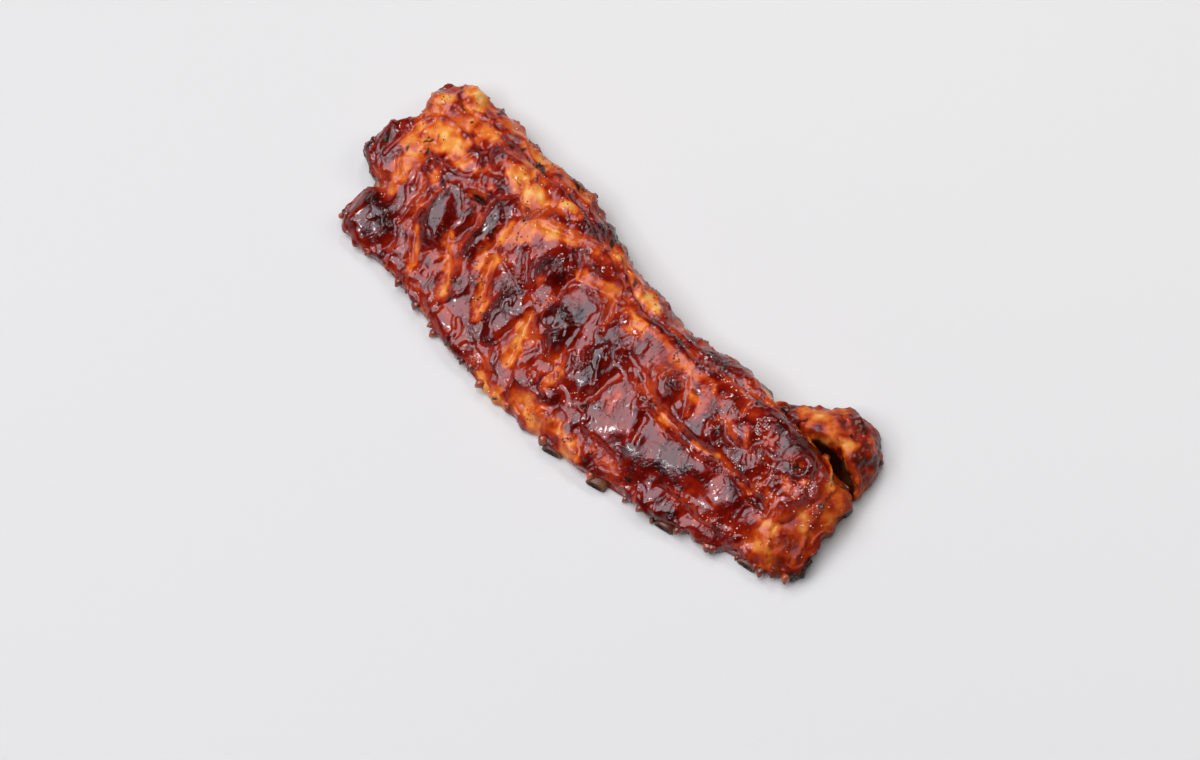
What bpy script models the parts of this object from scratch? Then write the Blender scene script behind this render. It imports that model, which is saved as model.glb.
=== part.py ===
"""A full rack of glazed pork ribs, resting bone side down.

The meat is one solid: a domed slab with a folded flap at one end. Thirteen rib bones lie in grooves along
its underside and show there and at the thin side of the slab. Metres, +Z up. X runs along the rack, -Y is
the side where the bone ends show, and the origin is under the middle of the rack, on its resting plane.
"""

import math

import bmesh
import bpy
import numpy as np

# Driving dimensions
HALF_LENGTH = 0.2005
PLAN_POWER = 12.0
END_POWER = 5.0
END_PULL = 5.0
SECTION_POWER = 3.2
SLAB_HALVES = (0.200, 0.060, 0.018)
ARCH_HEIGHT = 0.0085
ARCH_FOOT = 0.70
FOOT_SQUARENESS = 0.25
SETTLE = 0.0015
MEAT_RINGS = 64
MEAT_SPOKES = 32
PLAN_SHIFT = (0.0031, 0.0037)

# The slab's plan, as (x, y) stations along its two long sides and (y, x) stations along its two ends
THIN_SIDE = (
    (-0.205, -0.066), (-0.180, -0.069), (-0.160, -0.067), (-0.135, -0.067), (-0.105, -0.072), (-0.065, -0.078),
    (-0.026, -0.083), (0.014, -0.081), (0.054, -0.079), (0.095, -0.073), (0.135, -0.065), (0.165, -0.056),
    (0.205, -0.048),
)
THICK_SIDE = (
    (-0.205, 0.071), (-0.174, 0.067), (-0.140, 0.065), (-0.094, 0.064), (-0.060, 0.058), (-0.038, 0.052),
    (-0.020, 0.048), (0.000, 0.043), (0.040, 0.040), (0.072, 0.042), (0.097, 0.046), (0.118, 0.042),
    (0.150, 0.037), (0.205, 0.038),
)
LEFT_END = (
    (-0.070, -0.190), (-0.060, -0.194), (-0.048, -0.1955), (-0.036, -0.1955), (-0.029, -0.1945),
    (-0.020, -0.207), (-0.004, -0.213), (0.012, -0.209), (0.023, -0.203), (0.032, -0.203), (0.044, -0.208),
    (0.054, -0.206), (0.070, -0.196),
)
RIGHT_END = (
    (-0.055, 0.196), (-0.042, 0.205), (-0.030, 0.207), (-0.018, 0.203), (0.004, 0.200), (0.024, 0.200),
    (0.038, 0.196),
)

# Height of the top: a share of the thickness across the slab, and the thickness along it
CROWN = ((0.0, 0.42), (0.12, 0.52), (0.32, 0.76), (0.58, 0.95), (0.76, 1.0), (0.90, 0.94), (1.0, 0.78))
THICKNESS = (
    (-0.212, 0.026), (-0.175, 0.034), (-0.110, 0.040), (0.0, 0.042), (0.100, 0.042), (0.165, 0.039),
    (0.207, 0.027),
)

# The folded flap beside the right end, laid out in the same way
FLAP_X = (0.114, 0.198)
FLAP_INNER = (
    (0.114, 0.037), (0.132, 0.030), (0.148, 0.034), (0.157, 0.040), (0.172, 0.040), (0.198, 0.035),
)
FLAP_OUTER = (
    (0.114, 0.046), (0.126, 0.054), (0.140, 0.066), (0.152, 0.074), (0.163, 0.077), (0.177, 0.074),
    (0.187, 0.064), (0.198, 0.050),
)
FLAP_CROWN = ((0.0, 0.70), (0.3, 0.98), (0.5, 1.0), (0.75, 0.86), (1.0, 0.55))
FLAP_THICKNESS = ((0.114, 0.024), (0.135, 0.029), (0.158, 0.034), (0.180, 0.032), (0.197, 0.025))
FLAP_HALVES = (0.041, 0.016, 0.016)
FLAP_RINGS = 16
FLAP_SPOKES = 18

# Rib bones: their feet along the thin side, how they lean, how far they reach, and their girth along them
RIB_COUNT = 13
FIRST_RIB_X = -0.170
RIB_PITCH = 0.0287
RIB_FOOT_Y = -0.07
RIB_LEANS = ((-0.2, 0.2), (-0.44, -0.14))
RIB_SHIFTS = {7: -0.003, 8: 0.005, 9: -0.001}
RIB_REACH = {7: 0.0025, 8: 0.002, 10: 0.003, 12: 0.0005}
RIB_STOPS = {0: 0.40, 1: 0.72}
BONE_WIDTH = 0.0125
BONE_HEIGHT = 0.0085
BONE_INSET = 0.0065
BONE_STOP = 0.80
BONE_SHOWS_BELOW = 0.0012
BONE_RINGS = 9
BONE_SIDES = 10
BONE_GAP = 0.0004
BONE_GIRTH = ((0, 0.12, 0.3, 0.85, 1), (0.92, 1.06, 0.94, 1.0, 0.72))

# Relief on the top: a swell over each bone and broad uneven lumps
SWELL_HEIGHT = 0.0014
LUMP_HEIGHT = 0.0026
LUMP_SIZE = 0.030
SIDE_LUMP = 0.0016
SWELL_FADE = ((0, 0.5, 0.8), (1, 0.8, 0.1))
LATTICE = 256


def through(stations, at):
    """A smooth curve through a few (place, value) stations: cubic pieces whose slopes are the mean slopes."""
    place, value = np.array(stations, float).T
    slope = np.gradient(value, place)
    at = np.clip(at, place[0], place[-1])
    k = np.clip(np.searchsorted(place, at) - 1, 0, len(place) - 2)
    step = place[k + 1] - place[k]
    f = (at - place[k]) / step
    return (
        value[k] * (1 + 2 * f) * (1 - f) ** 2
        + value[k + 1] * f * f * (3 - 2 * f)
        + step * (slope[k] * f * (1 - f) ** 2 - slope[k + 1] * f * f * (1 - f))
    )


def lumps(x, y, size, seed):
    """Smooth uneven noise from -1 to 1: random heights on a lattice of that size, eased between its corners."""
    lattice = np.random.default_rng(seed).uniform(-1, 1, (LATTICE, LATTICE))
    x, y = x / size + LATTICE / 2, y / size + LATTICE / 2
    i, j = np.floor(x).astype(int), np.floor(y).astype(int)
    fx, fy = x - i, y - j
    fx, fy = fx * fx * (3 - 2 * fx), fy * fy * (3 - 2 * fy)
    low = lattice[i, j] * (1 - fx) + lattice[i + 1, j] * fx
    high = lattice[i, j + 1] * (1 - fx) + lattice[i + 1, j + 1] * fx
    return low * (1 - fy) + high * fy


def even_outline(count, power, half_length, half_height, closed):
    """Points (a, b) on |a|^power + |b|^power = 1, evenly spaced on an oval of those half sizes.

    A closed outline goes right round; an open one is the half with b above 0, from a = -1 to a = 1.
    """
    turn = np.linspace(-math.pi, math.pi if closed else 0, 4001)
    a = np.sign(np.cos(turn)) * np.abs(np.cos(turn)) ** (2 / power)
    b = np.sign(np.sin(turn)) * np.abs(np.sin(turn)) ** (2 / power) * (1 if closed else -1)
    length = np.hypot(np.diff(a) * half_length, np.diff(b) * half_height)
    run = np.concatenate([[0], np.cumsum(length)])
    stops = np.linspace(0, run[-1], count + 1)
    stops = stops[:-1] if closed else stops
    return np.interp(stops, run, a), np.interp(stops, run, b)


def rib_foot(rib):
    """The x at which a rib's line meets the thin side."""
    return FIRST_RIB_X + rib * RIB_PITCH + RIB_SHIFTS.get(rib, 0)


def rib_slant(x):
    """How far a rib leans along X for each metre across: they fan from steep at the left to nearly square."""
    return np.interp(x, *RIB_LEANS)


def rib_phase(x, y):
    """A number that grows by one from each rib line to the next."""
    foot = x
    for _ in range(3):
        foot = x - rib_slant(foot) * (y - RIB_FOOT_Y)
    feet = [rib_foot(k) for k in range(RIB_COUNT)]
    return np.interp(foot, feet, range(RIB_COUNT)) + np.clip((foot - feet[-1]) / RIB_PITCH, 0, 2)


def underside(across):
    """Height of the underside: an arch from foot to foot, flat outside the feet."""
    return np.maximum(ARCH_HEIGHT * (1 - ((2 * across - 1) / ARCH_FOOT) ** 2), 0)


def top_relief(x, y, across):
    """Rib swells, strongest over the thin half, plus broad lumps."""
    swell = SWELL_HEIGHT * np.cos(2 * math.pi * rib_phase(x, y)) * np.interp(across, *SWELL_FADE)
    return swell + LUMP_HEIGHT * lumps(x, y, LUMP_SIZE, 3) + 0.5 * LUMP_HEIGHT * lumps(x, y, LUMP_SIZE / 2, 4)


def slab_point(s, t, side):
    """The slab's surface. s runs along it and t across it from -1 to 1; side is -1 below, 1 above."""
    x = s * HALF_LENGTH
    across = (t + 1) / 2
    near, far = through(THIN_SIDE, x), through(THICK_SIDE, x)
    y = near + across * (far - near)
    pull = np.abs(s) ** END_PULL
    end = np.where(s < 0, through(LEFT_END, y) + HALF_LENGTH, through(RIGHT_END, y) - HALF_LENGTH)
    x = x + pull * end
    bulge = SIDE_LUMP * lumps(x, y + side * SLAB_HALVES[2], LUMP_SIZE / 2, 5)
    y = y + bulge * np.abs(t) ** 3 * np.sign(t)
    top = through(THICKNESS, x) * through(CROWN, across) + top_relief(x, y, across)
    low = underside(across)
    side = np.where(side < 0, -(np.abs(side) ** FOOT_SQUARENESS), side)
    z = (top + low) / 2 + side * (top - low) / 2
    return x, y, z


def flap_point(s, t, side):
    """The folded flap's surface, in the same terms as the slab's."""
    middle, half = (FLAP_X[0] + FLAP_X[1]) / 2, (FLAP_X[1] - FLAP_X[0]) / 2
    x = middle + s * half
    across = (t + 1) / 2
    y = through(FLAP_INNER, x) + across * (through(FLAP_OUTER, x) - through(FLAP_INNER, x))
    top = through(FLAP_THICKNESS, x) * through(FLAP_CROWN, across)
    top = top + LUMP_HEIGHT * lumps(x, y, LUMP_SIZE / 2, 6)
    return x, y, top / 2 * (1 + side)


def closed_grid(name, rings, spokes, half_length, half_width, half_height, point):
    """A closed mesh of rings round the X axis between two poles, each ring scaled by a rounded profile."""
    s, wide = even_outline(rings, PLAN_POWER, half_length, half_width, closed=False)
    high = (1 - np.minimum(np.abs(s), 1) ** END_POWER) ** (1 / END_POWER)
    t, side = even_outline(spokes, SECTION_POWER, half_width, half_height, closed=True)
    x, y, z = point(s[:, None] + 0 * t, wide[:, None] * t, high[:, None] * side)
    z = np.maximum(z - SETTLE, 0)
    points = np.stack([x + PLAN_SHIFT[0], y + PLAN_SHIFT[1], z], axis=-1)
    body = points[1:-1].reshape(-1, 3)
    poles = points[[0, -1], 0]
    mesh = bpy.data.meshes.new(name)
    ring = np.arange(len(s) - 2)[:-1, None] * spokes
    here, there = np.arange(spokes), (np.arange(spokes) + 1) % spokes
    quads = np.stack([ring + here, ring + spokes + here, ring + spokes + there, ring + there], -1).reshape(-1, 4)
    first, last = len(body), len(body) + 1
    top = len(body) - spokes
    caps = [(first, int(a), int(b)) for a, b in zip(here, there)]
    caps += [(last, int(top + b), int(top + a)) for a, b in zip(here, there)]
    mesh.from_pydata(np.vstack([body, poles]).tolist(), [], quads.tolist() + caps)
    return finish_mesh(name, mesh)


def finish_mesh(name, mesh):
    """Merges coincident points, turns the faces outwards, shades smooth and links the object."""
    work = bmesh.new()
    work.from_mesh(mesh)
    bmesh.ops.remove_doubles(work, verts=work.verts, dist=1e-6)
    bmesh.ops.dissolve_degenerate(work, edges=work.edges, dist=1e-6)
    bmesh.ops.recalc_face_normals(work, faces=work.faces)
    work.to_mesh(mesh)
    work.free()
    mesh.shade_smooth()
    made = bpy.data.objects.new(name, mesh)
    bpy.context.scene.collection.objects.link(made)
    return made


def bone_line(rib, reach):
    """The rib's centre line from its end at the thin side to its stop inside the thick side."""
    foot = rib_foot(rib)
    slant = float(rib_slant(foot))
    start_x, start_y = foot, float(through(THIN_SIDE, foot))
    stop_y = start_y + RIB_STOPS.get(rib, BONE_STOP) * (float(through(THICK_SIDE, foot)) - start_y)
    y = np.linspace(start_y - reach, stop_y, BONE_RINGS)
    x = start_x + slant * (y - start_y)
    near, far = through(THIN_SIDE, x), through(THICK_SIDE, x)
    rise = np.maximum(underside(np.clip((y - near) / (far - near), 0, 1)) - SETTLE, 0)
    return np.stack([x, y, rise + BONE_HEIGHT / 2 - BONE_SHOWS_BELOW], axis=-1)


def bone_mesh(name, line, grow, floor):
    """An oval bar along the line, knuckled at its near end. grow thickens it, and floor flattens its foot."""
    share = np.linspace(0, 1, len(line))
    girth = np.interp(share, *BONE_GIRTH)
    turn = np.arange(BONE_SIDES) * 2 * math.pi / BONE_SIDES
    along = np.gradient(line, axis=0)
    sideways = np.stack([along[:, 1], -along[:, 0], 0 * share], axis=-1)
    sideways /= np.linalg.norm(sideways, axis=1, keepdims=True)
    wide = (BONE_WIDTH / 2 * girth + grow)[:, None, None] * sideways[:, None] * np.cos(turn)[:, None]
    high = (BONE_HEIGHT / 2 * girth + grow)[:, None] * np.sin(turn)
    points = line[:, None] + wide
    points[..., 2] += high
    points = points + np.array([*PLAN_SHIFT, 0])
    if floor:
        points[..., 2] = np.maximum(points[..., 2], 0)
    work = bmesh.new()
    rings = [[work.verts.new(p) for p in ring] for ring in points]
    for low, high in zip(rings, rings[1:]):
        for k in range(BONE_SIDES):
            n = (k + 1) % BONE_SIDES
            work.faces.new((low[k], high[k], high[n], low[n]))
    work.faces.new(rings[0])
    work.faces.new(rings[-1][::-1])
    mesh = bpy.data.meshes.new(name)
    work.to_mesh(mesh)
    work.free()
    return finish_mesh(name, mesh)


def material(name, colour, roughness, coat=0.0):
    """A plain Principled material in that colour."""
    made = bpy.data.materials.new(name)
    made.use_nodes = True
    shader = made.node_tree.nodes["Principled BSDF"]
    shader.inputs["Base Color"].default_value = (*colour, 1)
    shader.inputs["Roughness"].default_value = roughness
    shader.inputs["Coat Weight"].default_value = coat
    return made


def boolean(target, other, operation):
    """A Boolean on target with a hidden helper."""
    other.hide_render = True
    other.display_type = "WIRE"
    cut = target.modifiers.new(f"{operation.lower()}_{other.name}", "BOOLEAN")
    cut.operation = operation
    cut.object = other


def build_bones(bone_colour):
    """The thirteen bones, and a slightly larger cutter for each one's groove."""
    cutters = []
    for rib in range(RIB_COUNT):
        reach = RIB_REACH.get(rib, 0.0)
        name = f"rib_bone_{rib + 1:02d}"
        line = bone_line(rib, reach - BONE_INSET * (rib not in RIB_REACH))
        bone = bone_mesh(name, line, 0.0, floor=True)
        bone.data.materials.append(bone_colour)
        groove = line.copy()
        outward = (line[0] - line[1]) / np.linalg.norm(line[0] - line[1])
        groove[0] = line[0] + outward * (2 * BONE_INSET)
        groove[-1] = line[-1] - outward * BONE_GAP
        cutters.append(bone_mesh(f"groove_{rib + 1:02d}", groove, BONE_GAP, floor=False))
    return cutters


def main():
    for old in list(bpy.data.objects):
        bpy.data.objects.remove(old)
    meat = closed_grid("meat", MEAT_RINGS, MEAT_SPOKES, *SLAB_HALVES, slab_point)
    flap = closed_grid("flap", FLAP_RINGS, FLAP_SPOKES, *FLAP_HALVES, flap_point)
    meat.data.materials.append(material("glazed_pork", (0.20, 0.025, 0.008), 0.3, coat=1.0))
    cutters = build_bones(material("roasted_bone", (0.30, 0.14, 0.06), 0.6))
    boolean(meat, flap, "UNION")
    for cutter in cutters:
        boolean(meat, cutter, "DIFFERENCE")


main()
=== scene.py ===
# %% [markdown]
# # A rack of barbecued ribs
#
# The rack lies bone side down: a long slab of pork with thirteen rib bones along its underside, roasted and
# brushed with a sticky sauce. The shape comes first, as a fine skin worked out by formula, then the finish
# of each surface, then the light. Lengths are metres unless a comment or a name says mm. X runs along the
# rack, and -Y is the thin side, where the bone ends show.

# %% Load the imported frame
import math

import bpy
import numpy as np
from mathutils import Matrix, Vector


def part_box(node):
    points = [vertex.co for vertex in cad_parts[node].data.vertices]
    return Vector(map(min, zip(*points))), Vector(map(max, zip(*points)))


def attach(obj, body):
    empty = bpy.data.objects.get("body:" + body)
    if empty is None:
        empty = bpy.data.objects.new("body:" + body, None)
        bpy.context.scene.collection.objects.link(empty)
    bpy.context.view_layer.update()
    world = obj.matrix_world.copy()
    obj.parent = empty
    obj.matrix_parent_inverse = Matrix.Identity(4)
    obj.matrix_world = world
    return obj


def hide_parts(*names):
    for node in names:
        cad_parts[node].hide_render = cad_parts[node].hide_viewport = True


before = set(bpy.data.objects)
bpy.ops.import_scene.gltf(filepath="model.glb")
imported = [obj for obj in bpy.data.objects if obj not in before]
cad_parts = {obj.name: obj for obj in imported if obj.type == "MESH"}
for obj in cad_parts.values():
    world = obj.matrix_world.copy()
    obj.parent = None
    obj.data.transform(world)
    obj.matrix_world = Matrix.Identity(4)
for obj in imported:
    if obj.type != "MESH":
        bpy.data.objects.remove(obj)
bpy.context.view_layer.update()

# %% [markdown]
# ## Curves through a few stations
#
# The slab's plan and its height are each given by a few stations. A smooth curve through them gives the
# rest. This is the same curve that the solid is built with, so that the skin lies on the solid.

# %% Smooth curves
MM = 0.001
PLAN_SHIFT = np.array([0.0031, 0.0037, 0.0])


def through(stations, at):
    """A smooth curve through (place, value) stations: cubic pieces whose slopes are the mean slopes."""
    place, value = np.array(stations, float).T
    slope = np.gradient(value, place)
    at = np.clip(at, place[0], place[-1])
    k = np.clip(np.searchsorted(place, at) - 1, 0, len(place) - 2)
    step = place[k + 1] - place[k]
    f = (at - place[k]) / step
    return (
        value[k] * (1 + 2 * f) * (1 - f) ** 2
        + value[k + 1] * f * f * (3 - 2 * f)
        + step * (slope[k] * f * (1 - f) ** 2 - slope[k + 1] * f * f * (1 - f))
    )


def ease(low, high, at):
    """0 below low, 1 above high, and 3f^2 - 2f^3 between them."""
    f = np.clip((at - low) / (high - low), 0, 1)
    return f * f * (3 - 2 * f)


print("ease at 0, 1/4, 1/2, 3/4 and 1:", ease(0, 1, np.linspace(0, 1, 5)).round(2))

# %% [markdown]
# ## Uneven, but the same each time
#
# Meat and sauce are uneven at every size, from broad lumps to fine wrinkles. Gradient noise gives that:
# each corner of a lattice holds a random direction, and between corners their slopes are eased together.
# Layers of it at half the size and half the strength make a cloud.

# %% Noise
DIRECTION_COUNT = 4096
DIRECTIONS = np.random.default_rng(11).normal(size=(DIRECTION_COUNT, 3))
DIRECTIONS /= np.linalg.norm(DIRECTIONS, axis=1, keepdims=True)
LATTICE_PRIMES = (73856093, 19349663, 83492791)
LATTICE_START, SEED_STEP = 100.0, 17.3
NOISE_GAIN = 1.7


def noise(points, size, seed):
    """Gradient noise from about -1 to 1: eased sum over the 8 corners of each corner's direction . offset."""
    p = points / size + LATTICE_START + SEED_STEP * seed
    corner = np.floor(p).astype(np.int64)
    f = p - corner
    w = f * f * f * (f * (6 * f - 15) + 10)
    height = np.zeros(p.shape[:-1])
    for dx in (0, 1):
        for dy in (0, 1):
            for dz in (0, 1):
                mixed = (corner + (dx, dy, dz)) * LATTICE_PRIMES
                pick = (mixed[..., 0] ^ mixed[..., 1] ^ mixed[..., 2]) % DIRECTION_COUNT
                slope = np.einsum("...k,...k", DIRECTIONS[pick], f - (dx, dy, dz))
                share = np.abs(1 - dx - w[..., 0]) * np.abs(1 - dy - w[..., 1]) * np.abs(1 - dz - w[..., 2])
                height += slope * share
    return NOISE_GAIN * height


def cloud(points, size, layers, seed):
    """Layers of noise, each half the size and half the strength of the one before."""
    return sum(noise(points, size / 2**k, seed + k) / 2**k for k in range(layers))


def crests(points, size, seed):
    """Thin ridges where noise crosses zero: 1 on the crossing, falling off as (1 - |n|)^3."""
    return (1 - np.clip(np.abs(noise(points, size, seed)), 0, 1)) ** 3


trial = noise(np.random.default_rng(1).random((4000, 3)), 0.1, 0)
print("98 in 100 values of noise lie between", np.percentile(trial, (1, 99)).round(2))

# %% [markdown]
# ## The slab as the solid has it
#
# A rack of ribs is long, thick along the side of the backbone and thin where the ribs end. Its surface is a
# function of two parameters: s runs from one end to the other, and the section runs round it.

# %% The slab's sizes and its surface
HALF_LENGTH = 0.2005
PLAN_POWER = 12.0
END_POWER = 5.0
END_PULL = 5.0
SECTION_POWER = 3.2
ARCH_HEIGHT = 0.0085
ARCH_FOOT = 0.70
FOOT_SQUARENESS = 0.25
SETTLE = 0.0015
# The plan: (x, y) stations along the two long sides, then (y, x) stations along the two ends
THIN_SIDE = (
    (-0.205, -0.066), (-0.180, -0.069), (-0.160, -0.067), (-0.135, -0.067), (-0.105, -0.072),
    (-0.065, -0.078), (-0.026, -0.082), (0.014, -0.080), (0.054, -0.077), (0.095, -0.069), (0.135, -0.060),
    (0.165, -0.051), (0.205, -0.041),
)
THICK_SIDE = (
    (-0.205, 0.071), (-0.174, 0.067), (-0.140, 0.065), (-0.094, 0.064), (-0.060, 0.058), (-0.038, 0.052),
    (-0.020, 0.048), (0.000, 0.043), (0.040, 0.040), (0.072, 0.042), (0.097, 0.046), (0.118, 0.042),
    (0.150, 0.037), (0.205, 0.038),
)
LEFT_END = (
    (-0.070, -0.190), (-0.060, -0.194), (-0.048, -0.195), (-0.036, -0.192), (-0.029, -0.187),
    (-0.020, -0.207), (-0.004, -0.213), (0.012, -0.209), (0.023, -0.203), (0.032, -0.203), (0.044, -0.208),
    (0.054, -0.206), (0.070, -0.196),
)
RIGHT_END = (
    (-0.055, 0.190), (-0.042, 0.200), (-0.030, 0.204), (-0.018, 0.202), (0.004, 0.198), (0.024, 0.198),
    (0.038, 0.194),
)
# The top: shares of the thickness across the slab, then the thickness along it
CROWN = ((0.0, 0.42), (0.12, 0.52), (0.32, 0.76), (0.58, 0.95), (0.76, 1.0), (0.90, 0.94), (1.0, 0.78))
THICKNESS = (
    (-0.212, 0.026), (-0.175, 0.034), (-0.110, 0.040), (0.0, 0.042), (0.100, 0.042), (0.165, 0.039),
    (0.207, 0.027),
)


def slab_point(s, t, side):
    """The slab's surface. s runs along it and t across it from -1 to 1; side is -1 below, 1 above."""
    x = s * HALF_LENGTH
    across = (t + 1) / 2
    near, far = through(THIN_SIDE, x), through(THICK_SIDE, x)
    y = near + across * (far - near)
    end = np.where(s < 0, through(LEFT_END, y) + HALF_LENGTH, through(RIGHT_END, y) - HALF_LENGTH)
    x = x + np.abs(s) ** END_PULL * end
    top = through(THICKNESS, x) * through(CROWN, across)
    low = np.maximum(ARCH_HEIGHT * (1 - ((2 * across - 1) / ARCH_FOOT) ** 2), 0)
    side = np.where(side < 0, -(np.abs(side) ** FOOT_SQUARENESS), side)
    return np.stack([x, y, (top + low) / 2 + side * (top - low) / 2], axis=-1)


print("top of the middle of the slab:", slab_point(0.0, 0.4, 1.0).round(4))

# %% [markdown]
# ## A fine grid, finest where it is seen
#
# The grid's rings run round the slab and its spokes along it. The sauce has folds 2 to 3 mm wide, so the
# top needs points about a millimetre apart, and the underside can do with fewer.

# %% The grid
RINGS, SPOKES = 500, 196
UNDERSIDE_SHARE = 0.22
UNDERSIDE_BLEND = (-0.9, -0.5)
OUTLINE_SAMPLES = 8001
SLAB_HALVES = (HALF_LENGTH, 0.060, 0.018)


def outline(count, power, half_length, half_height, closed):
    """Points (a, b) on |a|^power + |b|^power = 1, evenly spaced on an oval of those half sizes.

    A closed outline goes right round, with fewer points below; an open one goes from a = -1 to a = 1 above.
    """
    turn = np.linspace(-math.pi, math.pi if closed else 0, OUTLINE_SAMPLES)
    a = np.sign(np.cos(turn)) * np.abs(np.cos(turn)) ** (2 / power)
    b = np.sign(np.sin(turn)) * np.abs(np.sin(turn)) ** (2 / power) * (1 if closed else -1)
    length = np.hypot(np.diff(a) * half_length, np.diff(b) * half_height)
    if closed:
        length = length * np.interp(b[:-1], UNDERSIDE_BLEND, (UNDERSIDE_SHARE, 1))
    run = np.concatenate([[0], np.cumsum(length)])
    stops = np.linspace(0, run[-1], count + 1)
    stops = stops[:-1] if closed else stops
    return np.interp(stops, run, a), np.interp(stops, run, b)


def grid_of(point, rings, spokes, half_length, half_width, half_height):
    """The points of a surface on its grid, as an array of rings x spokes x 3, poles included."""
    s, wide = outline(rings, PLAN_POWER, half_length, half_width, closed=False)
    high = (1 - np.minimum(np.abs(s), 1) ** END_POWER) ** (1 / END_POWER)
    t, side = outline(spokes, SECTION_POWER, half_width, half_height, closed=True)
    return point(np.repeat(s[:, None], spokes, axis=1), wide[:, None] * t, high[:, None] * side)


def normals_of(grid):
    """Unit normals: the cross product of the steps along the grid's two directions."""
    along = np.gradient(grid, axis=0)
    around = np.roll(grid, -1, axis=1) - np.roll(grid, 1, axis=1)
    normal = np.cross(around, along)
    return normal / (np.linalg.norm(normal, axis=-1, keepdims=True) + 1e-12)


slab = grid_of(slab_point, RINGS, SPOKES, *SLAB_HALVES)
slab_normals = normals_of(slab)
middle = slab[RINGS // 2].mean(axis=0)
outward = np.einsum("...k,...k", slab[RINGS // 2] - middle, slab_normals[RINGS // 2]).mean()
turned = np.sign(outward)
slab_normals *= turned
print("slab grid", slab.shape, "its normals turned round" if turned < 0 else "its normals as they came")

# %% [markdown]
# ## Strokes
#
# Where the ribs press through, where the sauce has pooled and where the fat shows is given as short strokes
# and oval patches in millimetres on the plan. Their edges are pushed about by noise, so that none of them
# shows as a neat shape.

# %% Strokes, patches and rims
# How far in mm the plan is pushed about, by noise of which size
WANDER_WIDE, WANDER_FINE = (2.4, 0.016), (0.9, 0.005)
RIM_HALF_WIDTH = 1.2


def wander(points, seed):
    """The points' plan in mm, pushed about by a wide noise and a fine one."""
    push = [
        WANDER_WIDE[0] * noise(points, WANDER_WIDE[1], seed + k)
        + WANDER_FINE[0] * noise(points, WANDER_FINE[1], seed + 5 + k)
        for k in (0, 1)
    ]
    return points[..., 0] / MM + push[0], points[..., 1] / MM + push[1]


def stroke(plan, x0, y0, x1, y1, width, edge=2.0):
    """1 along a line from x0, y0 to x1, y1, falling off as exp(-(distance / width)^edge)."""
    px, py = plan[0] - x0, plan[1] - y0
    dx, dy = x1 - x0, y1 - y0
    f = np.clip((px * dx + py * dy) / (dx * dx + dy * dy), 0, 1)
    return np.exp(-((np.hypot(px - f * dx, py - f * dy) / width) ** edge))


def patch(plan, x, y, length, width, turn=0.0, edge=2.0):
    """1 inside an oval of those half sizes turned by some degrees, falling off as exp(-r^edge)."""
    c, s = math.cos(math.radians(turn)), math.sin(math.radians(turn))
    px, py = plan[0] - x, plan[1] - y
    return np.exp(-(np.hypot((px * c + py * s) / length, (py * c - px * s) / width) ** edge))


def rim(plan, x, y, length, width, turn=0.0, edge=2.0):
    """1 along the outline of an oval of those half sizes, falling off as exp(-(distance / rim)^edge)."""
    c, s = math.cos(math.radians(turn)), math.sin(math.radians(turn))
    px, py = plan[0] - x, plan[1] - y
    beyond = (np.hypot((px * c + py * s) / length, (py * c - px * s) / width) - 1) * min(length, width)
    return np.exp(-(np.abs(beyond / RIM_HALF_WIDTH) ** edge))


def total(plan, rows, shape, edge=2.0):
    """The strongest of several strokes or patches, each row ending in its strength."""
    best = np.zeros(plan[0].shape)
    for row in rows:
        value = row[-1] * shape(plan, *row[:-1], edge=edge)
        best = np.where(np.abs(value) > np.abs(best), value, best)
    return best


print("a stroke, one half width from its line:", stroke((0.0, 3.0), -5, 0, 5, 0, 3.0).round(2))

# %% [markdown]
# ## Ribs, valleys and pools of sauce
#
# Meat has shrunk back between the ribs, so each rib stands out as a long hump with a groove beside it, and
# a deep valley runs along the loin. Sauce has set round its pools with a raised rim, and where it was
# pulled it stands in sharp ridges. On the flat between them it has settled smooth.

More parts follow.
